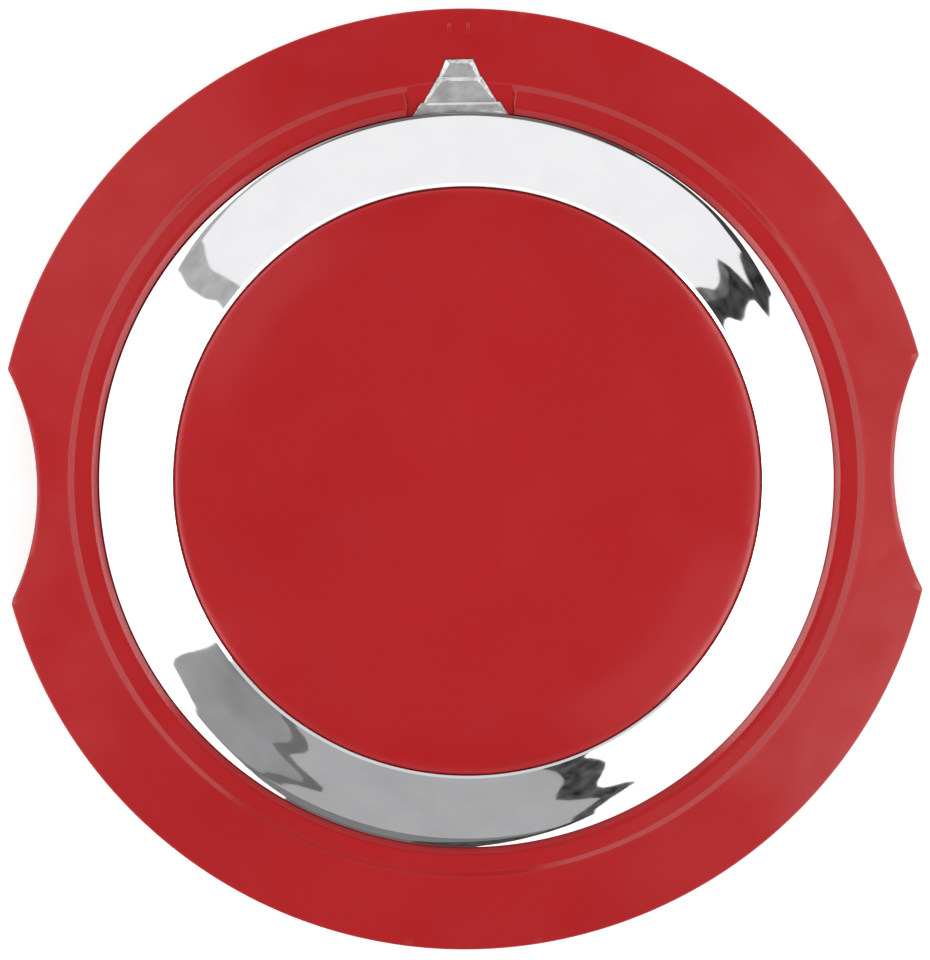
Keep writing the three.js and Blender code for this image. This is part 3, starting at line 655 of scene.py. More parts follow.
def footprint(inset):
    """The outline from above, moved inwards by inset. Points keep their order and number."""
    r = OUTER_R - inset
    scoop = SCOOP_R + inset
    scoop_x = OUTER_R - SCOOP_DEPTH + SCOOP_R
    tip = SCOOP_TIP_R
    tip_x = ((r - tip) ** 2 - (scoop + tip) ** 2 + scoop_x ** 2) / (2 * scoop_x)
    tip_y = sqrt((r - tip) ** 2 - tip_x ** 2)
    rim = atan2(tip_y, tip_x)
    scoop_angle = atan2(tip_y, scoop_x - tip_x)
    gap_start = pi / 2 - GAP_ANGLE
    rim_angles = [rim + (gap_start - 0.03 - rim) * k / 46 for k in range(1, 47)]
    rim_angles += [gap_start + step for step in END_STEPS]
    rim_angles += [gap_start + 0.03 + (GAP_ANGLE - 0.03) * k / 6 for k in range(7)]
    side = arc(scoop_x, 0, scoop, pi, pi - scoop_angle, 16)
    side += arc(tip_x, tip_y, tip, -scoop_angle, rim, 8)[1:]
    side += [polar(r, a) for a in rim_angles]
    half = side + [(-x, y) for x, y in reversed(side)][1:]
    return half + [(-x, -y) for x, y in half][1:-1]


def shoulder_z(r):
    return SHOULDER_TOP - SHOULDER_SLOPE * (r - SHOULDER_R)


def level(inset, z):
    return [(x, y, z) for x, y in footprint(inset)]


def on_shoulder(inset, drop):
    return [(x, y, shoulder_z(hypot(x, y)) - drop) for x, y in footprint(inset)]


def circle_level(r, z):
    """The footprint's columns drawn in to a circle; the gap's columns keep its straight sides."""
    shift = asin(COLLAR_GAP_HALF / r) - GAP_ANGLE
    made = []
    for x, y in footprint(0):
        turn = atan2(x, y)
        away = abs(turn)
        if away <= GAP_ANGLE:
            turn *= 1 + shift / GAP_ANGLE
        else:
            turn += copysign(shift, x) * max(0, 1 - (away - GAP_ANGLE) / 0.3)
        height = z(away) if callable(z) else z
        made.append((r * sin(turn), r * cos(turn), height))
    return made


def lens_outline(tier, spare=0.0):
    """A tier of the lens from above, anticlockwise; its near edge follows the well."""
    start, end, near_half, far_half, _ = tier
    near, far, near_r = near_half + spare, far_half + spare, start - spare
    xs = [near * k / 8 for k in range(-8, 9)]
    near_edge = [(x, sqrt(near_r ** 2 - x ** 2)) for x in xs]
    return near_edge + [(far, end + spare), (-far, end + spare)]


# ---- Casing ----

def upper_housing():
    """The red shell: wall, sloping shoulder, low collar that stops at the lens, well and deck."""

    def collar(top):
        """The crown's height by angle: down to the floor of the lens's gap, with rounded ends."""
        floor = min(top, SHOULDER_TOP + 0.05)

        def height(away):
            past = away - GAP_ANGLE
            return floor if past < 0 else max(floor, top - (0.06 if past < 0.003 else 0))
        return height

    levels = [level(WALL, WALL_LOW + 0.2), level(WALL - 0.2, WALL_LOW), level(0.25, WALL_LOW)]
    levels += [level(0.07, WALL_LOW + 0.07), level(0, WALL_LOW + 0.25)]
    wall_rows = 5
    top = on_shoulder(0, EDGE_ROUND)
    for k in range(1, wall_rows):
        levels.append([(x, y, WALL_LOW + 0.25 + (z - WALL_LOW - 0.25) * k / wall_rows) for x, y, z in top])
    levels += [on_shoulder(EDGE_ROUND * (1 - c), EDGE_ROUND * (1 - s)) for s, c in quarter(8)]
    edge = footprint(EDGE_ROUND)
    shoulder_rows = 7
    shoulder_end = SHOULDER_R + 0.6
    for k in range(1, shoulder_rows):
        ring = []
        for x, y in edge:
            r = hypot(x, y)
            to = r + (shoulder_end - r) * k / shoulder_rows
            ring.append((x * to / r, y * to / r, shoulder_z(to)))
        levels.append(ring)
    crown = rounded([
        (shoulder_end, shoulder_z(shoulder_end), 0),
        (SHOULDER_R + 0.17, shoulder_z(SHOULDER_R + 0.17), 0.25),
        (SHOULDER_R - 0.4, SHOULDER_TOP + COLLAR_STEP, 0.25),
        (WELL_R + 0.95, COLLAR_TOP, 0.9),
        (WELL_R, COLLAR_TOP - 0.45, 0.12),
        (WELL_R, 22.6, 0),
    ], arc_steps=7)
    levels += [circle_level(r, collar(z)) for r, z in crown]
    under = shoulder_z(WELL_WALL_R) - SHOULDER_T
    hub_r = GUIDE_BORE_R + 1.4
    inside = [
        (WELL_R, 21.0), (WELL_R, DECK_TOP + 0.3), (WELL_R - 0.1, DECK_TOP + 0.1), (WELL_R - 0.3, DECK_TOP),
        (30.0, DECK_TOP), (20.0, DECK_TOP), (hub_r, DECK_TOP), (hub_r, 22.2), (hub_r - 0.2, GUIDE_TOP),
        (GUIDE_BORE_R + 0.2, GUIDE_TOP), (GUIDE_BORE_R, 22.2), (GUIDE_BORE_R, DECK_LOW),
        (20.0, DECK_LOW), (30.0, DECK_LOW), (WELL_WALL_R, DECK_LOW), (WELL_WALL_R, under),
    ]
    levels += [circle_level(r, z) for r, z in inside] + [on_shoulder(WALL + 1, SHOULDER_T)]
    levels += [on_shoulder(WALL + 0.3, SHOULDER_T + 0.3), on_shoulder(WALL, SHOULDER_T + 1)]
    housing = make_object(*loft_rings(levels, closed=True))
    cut(housing, *(extruded(lens_outline(tier, 0.12), LENS_LOW - 0.3, TOTAL_H) for tier in LENS_TIERS))
    post_top = shoulder_z(SHOULDER_R) - SHOULDER_T + 0.2
    profile = [(1.6, 7.3), (3.0, 7.3), (3.2, 7.5), (3.2, post_top), (0, post_top), (0, 15.8), (1.6, 15.8)]
    posts = joined([revolve(profile, 32, spot, closed=True) for spot in CASE_SCREWS])
    well_r, well_low = WELL_R + 0.03, DECK_TOP - 0.5
    unite(housing, cut(posts, revolve([(0, well_low), (well_r, well_low), (well_r, 23), (0, 23)], 288)))
    boss_top = DECK_TOP + 1.6
    for x, y in BOARD_SCREWS:
        unite(housing, soft_prism(round_hole(x, y, 2.4, 32), DECK_LOW + 0.2, boss_top, high_edge=0.3))
        cut(housing, extruded(circle(x, y, 1.25, 24), DECK_LOW - 1, boss_top + 1))
    slot = round_rect(HOOK_R - 2.2, HOOK_R + 2, -3.5, 3.5, 0.4)
    for angle in HOOK_ANGLES:
        cut(housing, turned(soft_prism(slot, DECK_LOW - 1, DECK_TOP + 1), angle))
    unite(housing, sight_mark(-1), sight_mark(1))
    placed("housing_shell", housing, "housing_red", "upper_housing", sharp=28, weighted=True)


def sight_mark(side):
    """One of the two fine raised marks on the rim in line with the lens."""
    x, y = side * 1.0, 47.9
    mark = block((-0.2, 0.2), (-0.65, 0.65), (-0.5, 0.06), 0.08)
    mark.data.transform(Matrix.Rotation(-atan(SHOULDER_SLOPE), 4, "X"))
    mark.data.transform(Matrix.Translation((x * MM, y * MM, shoulder_z(hypot(x, y)) * MM)))
    return mark


# ---- Button ----

def chrome_ring():
    start, end = (radians(a) for a in RING_ROLL)
    roll_x = RING_ROLL_END[0] - RING_ROLL_R * cos(end)
    roll_z = RING_ROLL_END[1] - RING_ROLL_R * sin(end)
    roll = arc(roll_x, roll_z, RING_ROLL_R, start, end, 20)
    edge_x = roll[0][0] - RING_EDGE_ROUND * cos(start)
    edge_z = roll[0][1] - RING_EDGE_ROUND * sin(start)
    roll = arc(edge_x, edge_z, RING_EDGE_ROUND, 0, start, 6)[:-1] + roll
    inner = rounded([
        (31.55, 31.0, 0),
        (RING_BORE_R, 31.23, 0.02),
        (RING_BORE_R, CAP_LOW, 0.1),
        (RING_BORE_R + RING_WALL, CAP_LOW, 0.1),
        (RING_BORE_R + RING_WALL, 29.3, 0.4),
        (37.5, 26.0, 0.8),
        (RING_R - RING_WALL, 25.0, 0.8),
        (RING_R - RING_WALL, RING_LOW, 0.2),
        (roll[0][0], RING_LOW, 0.25),
        (*roll[0], 0),
    ], arc_steps=6)
    face = bulged(*roll[-1], *inner[0], -0.16, 14)
    ring = revolve(roll + face + inner[:-1], 288, closed=True)
    placed("chrome_bezel", ring, "chrome_trim", "chrome_ring", "button")


def dome_z(r):
    """The cap's outside: nearly level in the middle, falling faster towards the rim."""
    return TOTAL_H - 0.003 * r ** 2 - 1.2e-9 * r ** 6


def button_cap():
    rim = 30.2
    dome = [(rim * k / 40, dome_z(rim * k / 40)) for k in range(41)]
    edge = rounded([
        (rim, dome_z(rim), 0), (CAP_R, dome_z(CAP_R), 0.45), (CAP_R, CAP_LOW, 0.2),
        (CAP_RIM_R, CAP_LOW, 0.2),
        (28.6, dome_z(28.6) - CAP_T, 0.8), (24, dome_z(24) - CAP_T, 2), (10, dome_z(10) - CAP_T, 4),
        (0, dome_z(0) - CAP_T, 0),
    ], arc_steps=8)
    cap = revolve(dome + edge[1:], 256)
    top = dome_z(PEG_SPOT_R) - 1
    peg = [(0, 25.6), (1.4, 25.6), (1.6, 25.8), (1.6, top), (0, top)]
    unite(cap, *(revolve(peg, 24, spot) for spot in PEG_SPOTS))
    placed("button_dome", cap, "cap_red", "button_cap", "button", 32)


# ---- Light lens ----

def led_lens():
    """Three tiers that step up towards the button, each with sloping edges."""
    tiers = []
    for tier, slope in zip(LENS_TIERS, LENS_SLOPES):
        top = tier[-1]
        levels = ((LENS_FIT, LENS_LOW), (LENS_FIT, top - slope), (LENS_FIT - slope, top))
        tiers.append(prism(lambda out, tier=tier: lens_outline(tier, out), levels))
    flange = block((-6.2, 6.2), (41.8, 45.6), (LENS_LOW, LENS_LOW + 0.5), edge=0.1)
    placed("light_pointer", unite(*tiers, flange), "lens_clear", "led_lens", sharp=20)


# ---- Base cover and battery door ----

def round_rect(x0, x1, y0, y1, corner, arc_steps=6):
    """The outline of a rounded rectangle as a function of how far it is moved outwards."""
    return lambda out: rectangle(x0 - out, x1 + out, y0 - out, y1 + out, max(corner + out, 0.01), arc_steps)


def round_hole(x, y, r, steps=64):
    return lambda out: circle(x, y, r + out, steps)


def loft_solid(levels, sharp_degrees=32):
    """A closed skin through level outlines with equal point counts, from the lowest to the highest."""
    vertices, faces = loft_rings(levels, closed=False)
    count = len(levels[0])
    top = len(vertices) - count
    faces += [tuple(reversed(range(count))), tuple(range(top, top + count))]
    return make_object(vertices, faces, sharp_degrees)


def prism(outline, levels):
    """A solid through an outline function's outlines, from (offset, height) pairs."""
    return loft_solid([[(x, y, z) for x, y in outline(out)] for out, z in levels])


def soft_prism(outline, low, high, low_edge=0.0, high_edge=0.0, steps=4):
    """A prism whose lower and upper edges are rounded, from an outline function."""
    first, last = quarter(steps if low_edge else 0), quarter(steps if high_edge else 0)
    levels = [(low_edge * (s - 1), low + low_edge * (1 - c)) for s, c in first]
    levels += [(high_edge * (c - 1), high - high_edge * (1 - s)) for s, c in last]
    return prism(outline, levels)


def opening(outline, face, high, round_off=0.2, steps=4):
    """A cutter for a hole that starts at a downward face and has a rounded rim there."""
    levels = [(round_off, face - 2), (round_off, face)]
    levels += [(round_off * (1 - s), face + round_off * (1 - c)) for s, c in quarter(steps)[1:]]
    return prism(outline, levels + [(0, high)])


def cover_cutters():
    """Everything that is taken out of the base cover, in sets that don't overlap."""
    doorway = round_rect(-DOOR_X - GAP, DOOR_X + GAP, DOOR_LOW - GAP, DOOR_HIGH + GAP, 1.2)
    first = [opening(doorway, PLATE_LOW, LEDGE_Z, 0.15)]
    mouth = round_rect(-BAY_X, BAY_X, BAY_LOW, BAY_HIGH, 0.6)
    second = [soft_prism(mouth, 1, BAY_ROOF, high_edge=0.5)]
    ear = round_rect(-4.3, 4.3, BAY_HIGH - 1, -0.5, 1.3)
    third = [opening(ear, PLATE_LOW, WALL_LOW, 0.15)]
    fourth = []
    for x in TAB_XS:
        slot = round_rect(x - 3.4, x + 3.4, BAY_LOW - BAY_WALL - 1, BAY_LOW + 1, 0.2)
        third.append(soft_prism(slot, PLATE_TOP + 0.02, 6.2, high_edge=0.2))
        slot = round_rect(x - 3.4, x + 3.4, DOOR_LOW - GAP, BAY_LOW + 1, 0.2)
        fourth.append(soft_prism(slot, 1, PLATE_TOP + 1))
    for end in (-1, 1):
        for y in CELL_YS:
            xs = sorted((end * (BAY_X - 1), end * (BAY_X + BAY_WALL + 1)))
            first.append(block(xs, (y - 1.6, y + 1.6), (12, 13.4), 0.15))
    for place in range(-3, 4):
        x = place * GRILLE_STEP
        half, wide = sqrt(GRILLE_R ** 2 - x ** 2), GRILLE_SLOT / 2
        slot = round_rect(x - wide, x + wide, SPEAKER_Y - half, SPEAKER_Y + half, wide - 0.02)
        first.append(opening(slot, PLATE_LOW, PLATE_TOP + 1, 0.25))
    for x, y in CASE_SCREWS:
        first.append(opening(round_hole(x, y, HEAD_WELL_R), PLATE_LOW, CUP_FLOOR, 0.3))
        second.append(extruded(circle(x, y, 1.7, 32), CUP_FLOOR - 0.5, CUP_TOP + 1))
    first += [opening(round_hole(*spot, FOOT_R + GAP), PLATE_LOW, FOOT_H + GAP, 0.15) for spot in FOOT_SPOTS]
    knob = round_rect(SWITCH_X - 1.5, SWITCH_X + 1.5, SWITCH_Y - 3.6, SWITCH_Y + 3.6, 0.5)
    first.append(opening(knob, PLATE_LOW, PLATE_TOP + 1, 0.2))
    return first + switch_marks(), second, third, fourth


def switch_marks():
    """Engraved bar and ring at the on and off ends of the switch."""
    deep = PLATE_LOW + 0.2
    bar = round_rect(SWITCH_X - 0.25, SWITCH_X + 0.25, SWITCH_Y + 5.1, SWITCH_Y + 7.3, 0.24)
    ring_y = SWITCH_Y - 6.2
    ring = revolve([(0.75, 0.5), (1.25, 0.5), (1.25, deep), (0.75, deep)], 48,
                   (SWITCH_X, ring_y), closed=True)
    return [soft_prism(bar, 0.5, deep), ring]


def base_cover():
    low, high = 0.6, 0.15  # edge radii
    levels = [level(PLATE_INSET + low * (1 - s), PLATE_LOW + low * (1 - c)) for s, c in quarter(6)]
    levels += [level(PLATE_INSET + high * (1 - c), PLATE_TOP - high * (1 - s)) for s, c in quarter(3)]
    cover = loft_solid(levels)
    root = PLATE_TOP - 0.5  # additions reach this far into the plate
    lip = ((0, root), (0, 5.8), (0.3, 6.2), (1.4, 6.2), (1.4, root))
    lip = [level(WALL + GAP + inset, z) for inset, z in lip]
    additions = [make_object(*loft_rings(lip, closed=True))]
    additions += [soft_prism(round_hole(*spot, CUP_R, 48), root, CUP_TOP, high_edge=0.4)
                  for spot in CASE_SCREWS]
    outer = round_rect(-BAY_X - BAY_WALL, BAY_X + BAY_WALL, BAY_LOW - BAY_WALL,
                       BAY_HIGH + BAY_WALL, 1.2)
    additions.append(soft_prism(outer, LEDGE_Z, BAY_TOP, high_edge=0.8))
    near, far = SPEAKER_R + 0.4, SPEAKER_R + 1.5
    wall = rounded([(near, root, 0), (far, root, 0), (far, 7, 0.3), (near, 7, 0.3)], closed=True)
    additions.append(revolve(wall, 128, (0, SPEAKER_Y), closed=True))
    for side in (-1, 1):
        x = SWITCH_X + side * (SWITCH_HALF_X + 0.9)
        additions.append(box(x, SWITCH_Y, 0.6, 5, (root, 6), 0.2))
    unite(cover, *additions)
    cut(cover, *(joined(cutters) for cutters in cover_cutters()))
    boss = rounded([(1.45, WALL_LOW, 0.1), (DOOR_BOSS_R, WALL_LOW, 0.2), (DOOR_BOSS_R, DOOR_BOSS_TOP, 0.3),
                    (1.45, DOOR_BOSS_TOP, 0.2)], closed=True)
    unite(cover, revolve(boss, 48, (0, DOOR_SCREW_Y), closed=True))
    placed("base_shell", cover, "base_black", "base_cover", sharp=30, weighted=True)


def battery_door():
    """The door, its locating frame and two hooked tabs, with shallow grip grooves by the screw."""
    face = round_rect(-DOOR_X, DOOR_X, DOOR_LOW, DOOR_HIGH, 1.0)
    door = soft_prism(face, PLATE_LOW, DOOR_TOP, 0.25, 0.15)
    ear = round_rect(-4, 4, DOOR_HIGH - 1.5, -0.8, 1.2)
    unite(door, soft_prism(ear, PLATE_LOW, PLATE_TOP, 0.25, 0.15))
    frame_out = round_rect(-BAY_X + 0.5, BAY_X - 0.5, BAY_LOW + 0.6, BAY_HIGH - 0.6, 0.8)
    frame_in = round_rect(-BAY_X + 1.7, BAY_X - 1.7, BAY_LOW + 1.8, BAY_HIGH - 1.8, 0.4)
    rib = soft_prism(frame_out, DOOR_TOP - 0.5, 3.6, high_edge=0.25)
    unite(door, cut(rib, soft_prism(frame_in, DOOR_TOP - 1, 5)))
    cut(door, soft_prism(frame_in, DOOR_TOP, 3))
    for x in TAB_XS:
        wide, near = (x - 3, x + 3), BAY_LOW + 1.8
        unite(door, block(wide, (BAY_LOW + 0.6, near), (DOOR_TOP - 0.5, 4.7), 0.15),
              block(wide, (-34, near), (PLATE_TOP + GAP, 4.7), 0.2))
    seat = opening(round_hole(0, DOOR_SCREW_Y, 2.5), PLATE_LOW, 2.7, 0.2)
    cut(door, seat, extruded(circle(0, DOOR_SCREW_Y, 1.3, 32), 0, 5))
    for k in range(4):
        y = DOOR_HIGH - 3 - 1.6 * k
        groove = round_rect(-6 + k, 6 - k, y - 0.3, y + 0.3, 0.28)
        cut(door, opening(groove, PLATE_LOW, PLATE_LOW + 0.3, 0.15))
    placed("battery_door_shell", door, "base_black", "battery_door", "battery_door", 30, weighted=True)


# ---- Feet and screws ----

def rubber_feet():
    """Bonded feet, each with a shallow moulded dish."""
    profile = rounded([(0, 0.3, 0), (1.7, 0.3, 0.4), (2.2, 0, 0.25), (FOOT_R, 0, 0.5),
                       (FOOT_R, FOOT_H, 0.15), (0, FOOT_H, 0)], arc_steps=7)
    for number, spot in enumerate(FOOT_SPOTS, 1):
        placed(f"foot_{number}", revolve(profile, 96, spot), "foot_rubber", f"rubber_foot_{number}")


def screw(head_r, head_h, shank_r, length, pitch=0.8):
    """A self-tapping screw driven upwards from the origin: domed head, cross recess, and a thread
    that runs out at the head and the point."""
    columns = 32
    core = shank_r * 0.72
    head = rounded([(0, 0, 0), (head_r * 0.55, 0.02, 0.6), (head_r, head_h * 0.5, head_r * 0.4),
                    (head_r, head_h, 0.08), (core, head_h, 0.08), (core, head_h + 0.2, 0)], arc_steps=5)
    rows = [[(r, height)] * columns for r, height in head[1:]]
    thread = length - head_h - 0.3
    steps = int(thread / pitch * 8)
    for k in range(steps + 1):
        height = head_h + 0.25 + thread * k / steps
        left = length - height
        fade = min(1, (height - head_h) / 0.9, left / 1.2)
        taper = min(1, 0.25 + left / (shank_r * 1.6))
        row = []
        for column in range(columns):
            phase = ((height - head_h) / pitch - column / columns) % 1
            crest = max(0, 1 - abs(phase - 0.5) * 3.2)
            row.append(((core + (shank_r - core) * crest * fade) * taper, height))
        rows.append(row)
    vertices, rings = [(0, 0, 0)], [[0]]
    for row in rows:
        rings.append(list(range(len(vertices), len(vertices) + columns)))
        vertices += [(*polar(r, FULL_TURN * k / columns), height) for k, (r, height) in enumerate(row)]
    rings.append([len(vertices)])
    made = make_object(vertices + [(0, 0, length)], skin(zip(rings, rings[1:])), 50)
    deep, half, arm = head_h * 0.62, head_r * 0.13, head_r * 0.56
    for along_x in (True, False):
        levels = []
        wide = half * 1.25
        for thin, long, height in ((wide, arm, -0.5), (wide, arm, 0), (half, arm * 0.5, deep)):
            dx, dy = (long, thin) if along_x else (thin, long)
            levels.append([(-dx, -dy, height), (dx, -dy, height), (dx, dy, height), (-dx, dy, height)])
        cut(made, loft_solid(levels))
    finish_mesh(made.data, 40)
    return made


def screws():
    rows = (
        ("case_fixing", "base", "case_screw_{}", CASE_SCREWS, 3.1, (2.8, 2, 1.3, 11.5, 1.0)),
        ("board_fixing", "base", "board_screw_{}", BOARD_SCREWS, 13.1, (2.1, 1.2, 0.95, 6)),
        ("door_fixing", "battery_door", "battery_door_screw", [(0, DOOR_SCREW_Y)], 1.5, (2.2, 0.9, 1, 4.8)),
    )
    for name, body, node, spots, z, sizes in rows:
        made = [screw(*sizes)]
        made += [link(bpy.data.objects.new("piece", made[0].data.copy())) for _ in spots[1:]]
        for number, (obj, (x, y)) in enumerate(zip(made, spots), 1):
            obj.data.transform(Matrix.Translation((x * MM, y * MM, z * MM)))
            label = name if number == 1 else f"{name}_{number}"
            placed(label, obj, "screw_zinc", node.format(number), body)


# ---- Power switch ----

def power_switch():
    x, y = SWITCH_X, SWITCH_Y
    shell = box(x, y, SWITCH_HALF_X, SWITCH_HALF_Y, (WALL_LOW, 8.4), 0.35)
    cut(shell, box(x, y, 2.7, 4.4, (3, 7), 0.2))
    placed("switch_shell", shell, "switch_black", "power_switch_body", sharp=40)
    knob_y = y - SWITCH_TRAVEL / 2
    knob = box(x, knob_y, 2.4, 2.9, (4.2, 6.6), 0.25)
    stem = box(x, knob_y, 1.2, 2, (0.6, 4.6), 0.2)
    cut(stem, *(box(x, knob_y + 0.75 * k, 2, 0.17, (0, 0.9), 0.12) for k in range(-2, 3)))
    unite(knob, stem)
    placed("switch_slider", knob, "knob_white", "power_switch_knob", "power_switch", 40)


# ---- Inside: button works, board, speaker, cells ----

def carrier():
    """The plate that carries cap and ring, with its skirt, guide tube, ribs, hooks and nub."""
    inner, skirt = GUIDE_TUBE_R - 1.4, CARRIER_R - 1.4
    shell = rounded([
        (0, CARRIER_LOW, 0), (inner, CARRIER_LOW, 0.4), (inner, 19.8, 0.3), (GUIDE_TUBE_R, 19.8, 0.3),
        (GUIDE_TUBE_R, CARRIER_LOW, 0.6), (skirt, CARRIER_LOW - 0.6, 0.6), (skirt, RING_LOW + 0.2, 0.2),
        (CARRIER_R, RING_LOW + 0.2, 0.2), (CARRIER_R, 24.8, 0.4), (36.8, 25.6, 0.4),
        (32.0, CARRIER_TOP, 0.6), (0, CARRIER_TOP, 0),
    ], arc_steps=5)
    made = revolve(shell, 192)
    nub = rounded([(0, 20.2, 0), (3, 20.2, 0.4), (3, CARRIER_LOW + 0.5, 0), (0, CARRIER_LOW + 0.5, 0)])
    unite(made, revolve(nub, 48))
    for angle in range(0, 360, 60):
        for xs, top in (((14.5, 33), CARRIER_LOW + 0.2), ((32, CARRIER_R - 1.1), CARRIER_LOW - 0.4)):
            unite(made, turned(block(xs, (-0.7, 0.7), (23.6, top), 0.15), angle))
    for angle in HOOK_ANGLES:
        leg = box(HOOK_R, 0, 1, 3, (14.9, CARRIER_LOW), 0.25)
        near = HOOK_R - 1
        hook = [[(near, -3, z), (HOOK_R + out, -3, z), (HOOK_R + out, 3, z), (near, 3, z)]
                for out, z in ((1, 14.9), (1.7, 16.0), (1.7, 16.6))]
        unite(leg, loft_solid(hook))
        unite(made, turned(leg, angle))
    cut(made, *(extruded(circle(*spot, 1.9, 32), CARRIER_LOW - 1, CARRIER_TOP + 1) for spot in PEG_SPOTS))
    placed("carrier_plate", made, "carrier_natural", "button_carrier", "button", 32)


def turned(obj, degrees):
    obj.data.transform(Matrix.Rotation(radians(degrees), 4, "Z"))
    return obj


def wire_along(path, radius, sides=12):
    """A round wire of constant thickness along a list of points, its ends closed and chamfered."""
    points = [Vector(p) for p in path]
    last = len(points) - 1
    stations = []
    across = None
    for k, point in enumerate(points):
        tangent = (points[min(last, k + 1)] - points[max(0, k - 1)]).normalized()
        if across is None:
            across = tangent.orthogonal().normalized()
        across = (across - tangent * across.dot(tangent)).normalized()
        inset = radius * 0.25 * ((k == 0) - (k == last))
        stations.append((point + tangent * inset, across, tangent.cross(across), radius))
    stations.insert(0, (points[0], *stations[0][1:3], radius * 0.6))
    stations.append((points[-1], *stations[-1][1:3], radius * 0.6))
    turns = circle(0, 0, 1, sides)
    rings = [[tuple(centre + u * (r * c) + v * (r * s)) for c, s in turns] for centre, u, v, r in stations]
    return loft_solid(rings, 50)


def smoothstep(t, low, high):
    t = min(1, max(0, (t - low) / (high - low)))
    return t * t * (3 - 2 * t)


def helix(low_r, high_r, low, high, turns, steps_per_turn=48):
    """Points of a helix about Z whose end turns flatten."""
    count = int(turns * steps_per_turn)
    points = []
    for k in range(count + 1):
        t = k / count
        z = low + (high - low) * 0.5 * (t + smoothstep(t, 0.06, 0.94))
        points.append((*polar(low_r + (high_r - low_r) * t, FULL_TURN * turns * t), z))
    return points


def return_spring():
    path = helix(12, 12, DECK_TOP + 0.8, CARRIER_LOW - 0.8, 4.5)
    spring = placed("spring_coil", wire_along(path, 0.6, 16), "spring_steel", "return_spring")
    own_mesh(spring)


def switch_dome():
    profile = rounded([
        (0, 18.6, 0), (2.2, 18.4, 0.6), (4.1, 16.5, 0.3), (6, 16.5, 0.15), (6, 17.1, 0.2), (4.6, 17.3, 0.5),
        (3, 19.2, 0.5), (3, 19.9, 0.3), (0, 19.9, 0),
    ], arc_steps=6)
    dome = placed("silicone_dome", revolve(profile, 96), "dome_silicone", "switch_dome")
    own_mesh(dome)


def circuit_board():
    outline = rounded([
        (-25, -6, 1), (25, -6, 1), (25, 12, 1), (20, 17, 1), (20, 23, 1), (15, 28.4, 1), (5, 28.4, 1),
        (5, 46, 0.6), (-5, 46, 0.6), (-5, 28.4, 1), (-15, 28.4, 1), (-20, 23, 1), (-20, 17, 1),
        (-25, 12, 1),
    ], closed=True, arc_steps=5)
    board = extruded(outline, BOARD_LOW, BOARD_TOP)
    for x, y in BOARD_SCREWS:
        cut(board, extruded(circle(x, y, 1.3, 32), BOARD_LOW - 1, BOARD_TOP + 1))
    soften(board, 0.12)
    placed("board_laminate", board, "board_green", "circuit_board")


def soften(obj, width, least_degrees=50):
    """Bevels the sharp edges of a prismatic mesh."""
    bm = bmesh.new()
    bm.from_mesh(obj.data)
    bmesh.ops.remove_doubles(bm, verts=bm.verts, dist=1e-6)
    bmesh.ops.dissolve_limit(bm, angle_limit=radians(0.5), verts=bm.verts, edges=bm.edges)
    sharp = [e for e in bm.edges if e.calc_face_angle(0) > radians(least_degrees)]
    bmesh.ops.bevel(bm, geom=sharp, offset=width * MM, segments=2, profile=0.5, affect="EDGES",
                    clamp_overlap=True)
    bm.to_mesh(obj.data)
    bm.free()
    finish_mesh(obj.data, 40)
    return obj


def sound_chip():
    x0, x1, y0, y1, low, high = 9, 19, 2.5, 8.5, 12.9, 14.3
    body = block((x0, x1), (y0 + 0.9, y1 - 0.9), (low, high - 0.1), 0.12)
    dot = [(0, 0), (0.4, 0), (0.4, low + 0.08), (0, low + 0.08)]
    cut(body, revolve(dot, 24, (x0 + 1.2, y0 + 2)))
    placed("chip_body", body, "chip_black", "sound_chip", sharp=40)
    pins = []
    for k in range(7):
        x = (x0 + x1) / 2 + (k - 3) * 1.27
        for side, out in ((-1, y0), (1, y1)):
            bars = (((0, 0.45), 0.25, 0), ((0.45, 0.2), 0.75, 0), ((0.3, 1), 0.75, 0.5))
            pins.append(unite(*(block((x - 0.2, x + 0.2), sorted(out - side * d for d in reach),
                                      (high - drop, high - rise), 0.05) for reach, drop, rise in bars)))
    placed("chip_pins", joined(pins), "contact_nickel", "sound_chip")


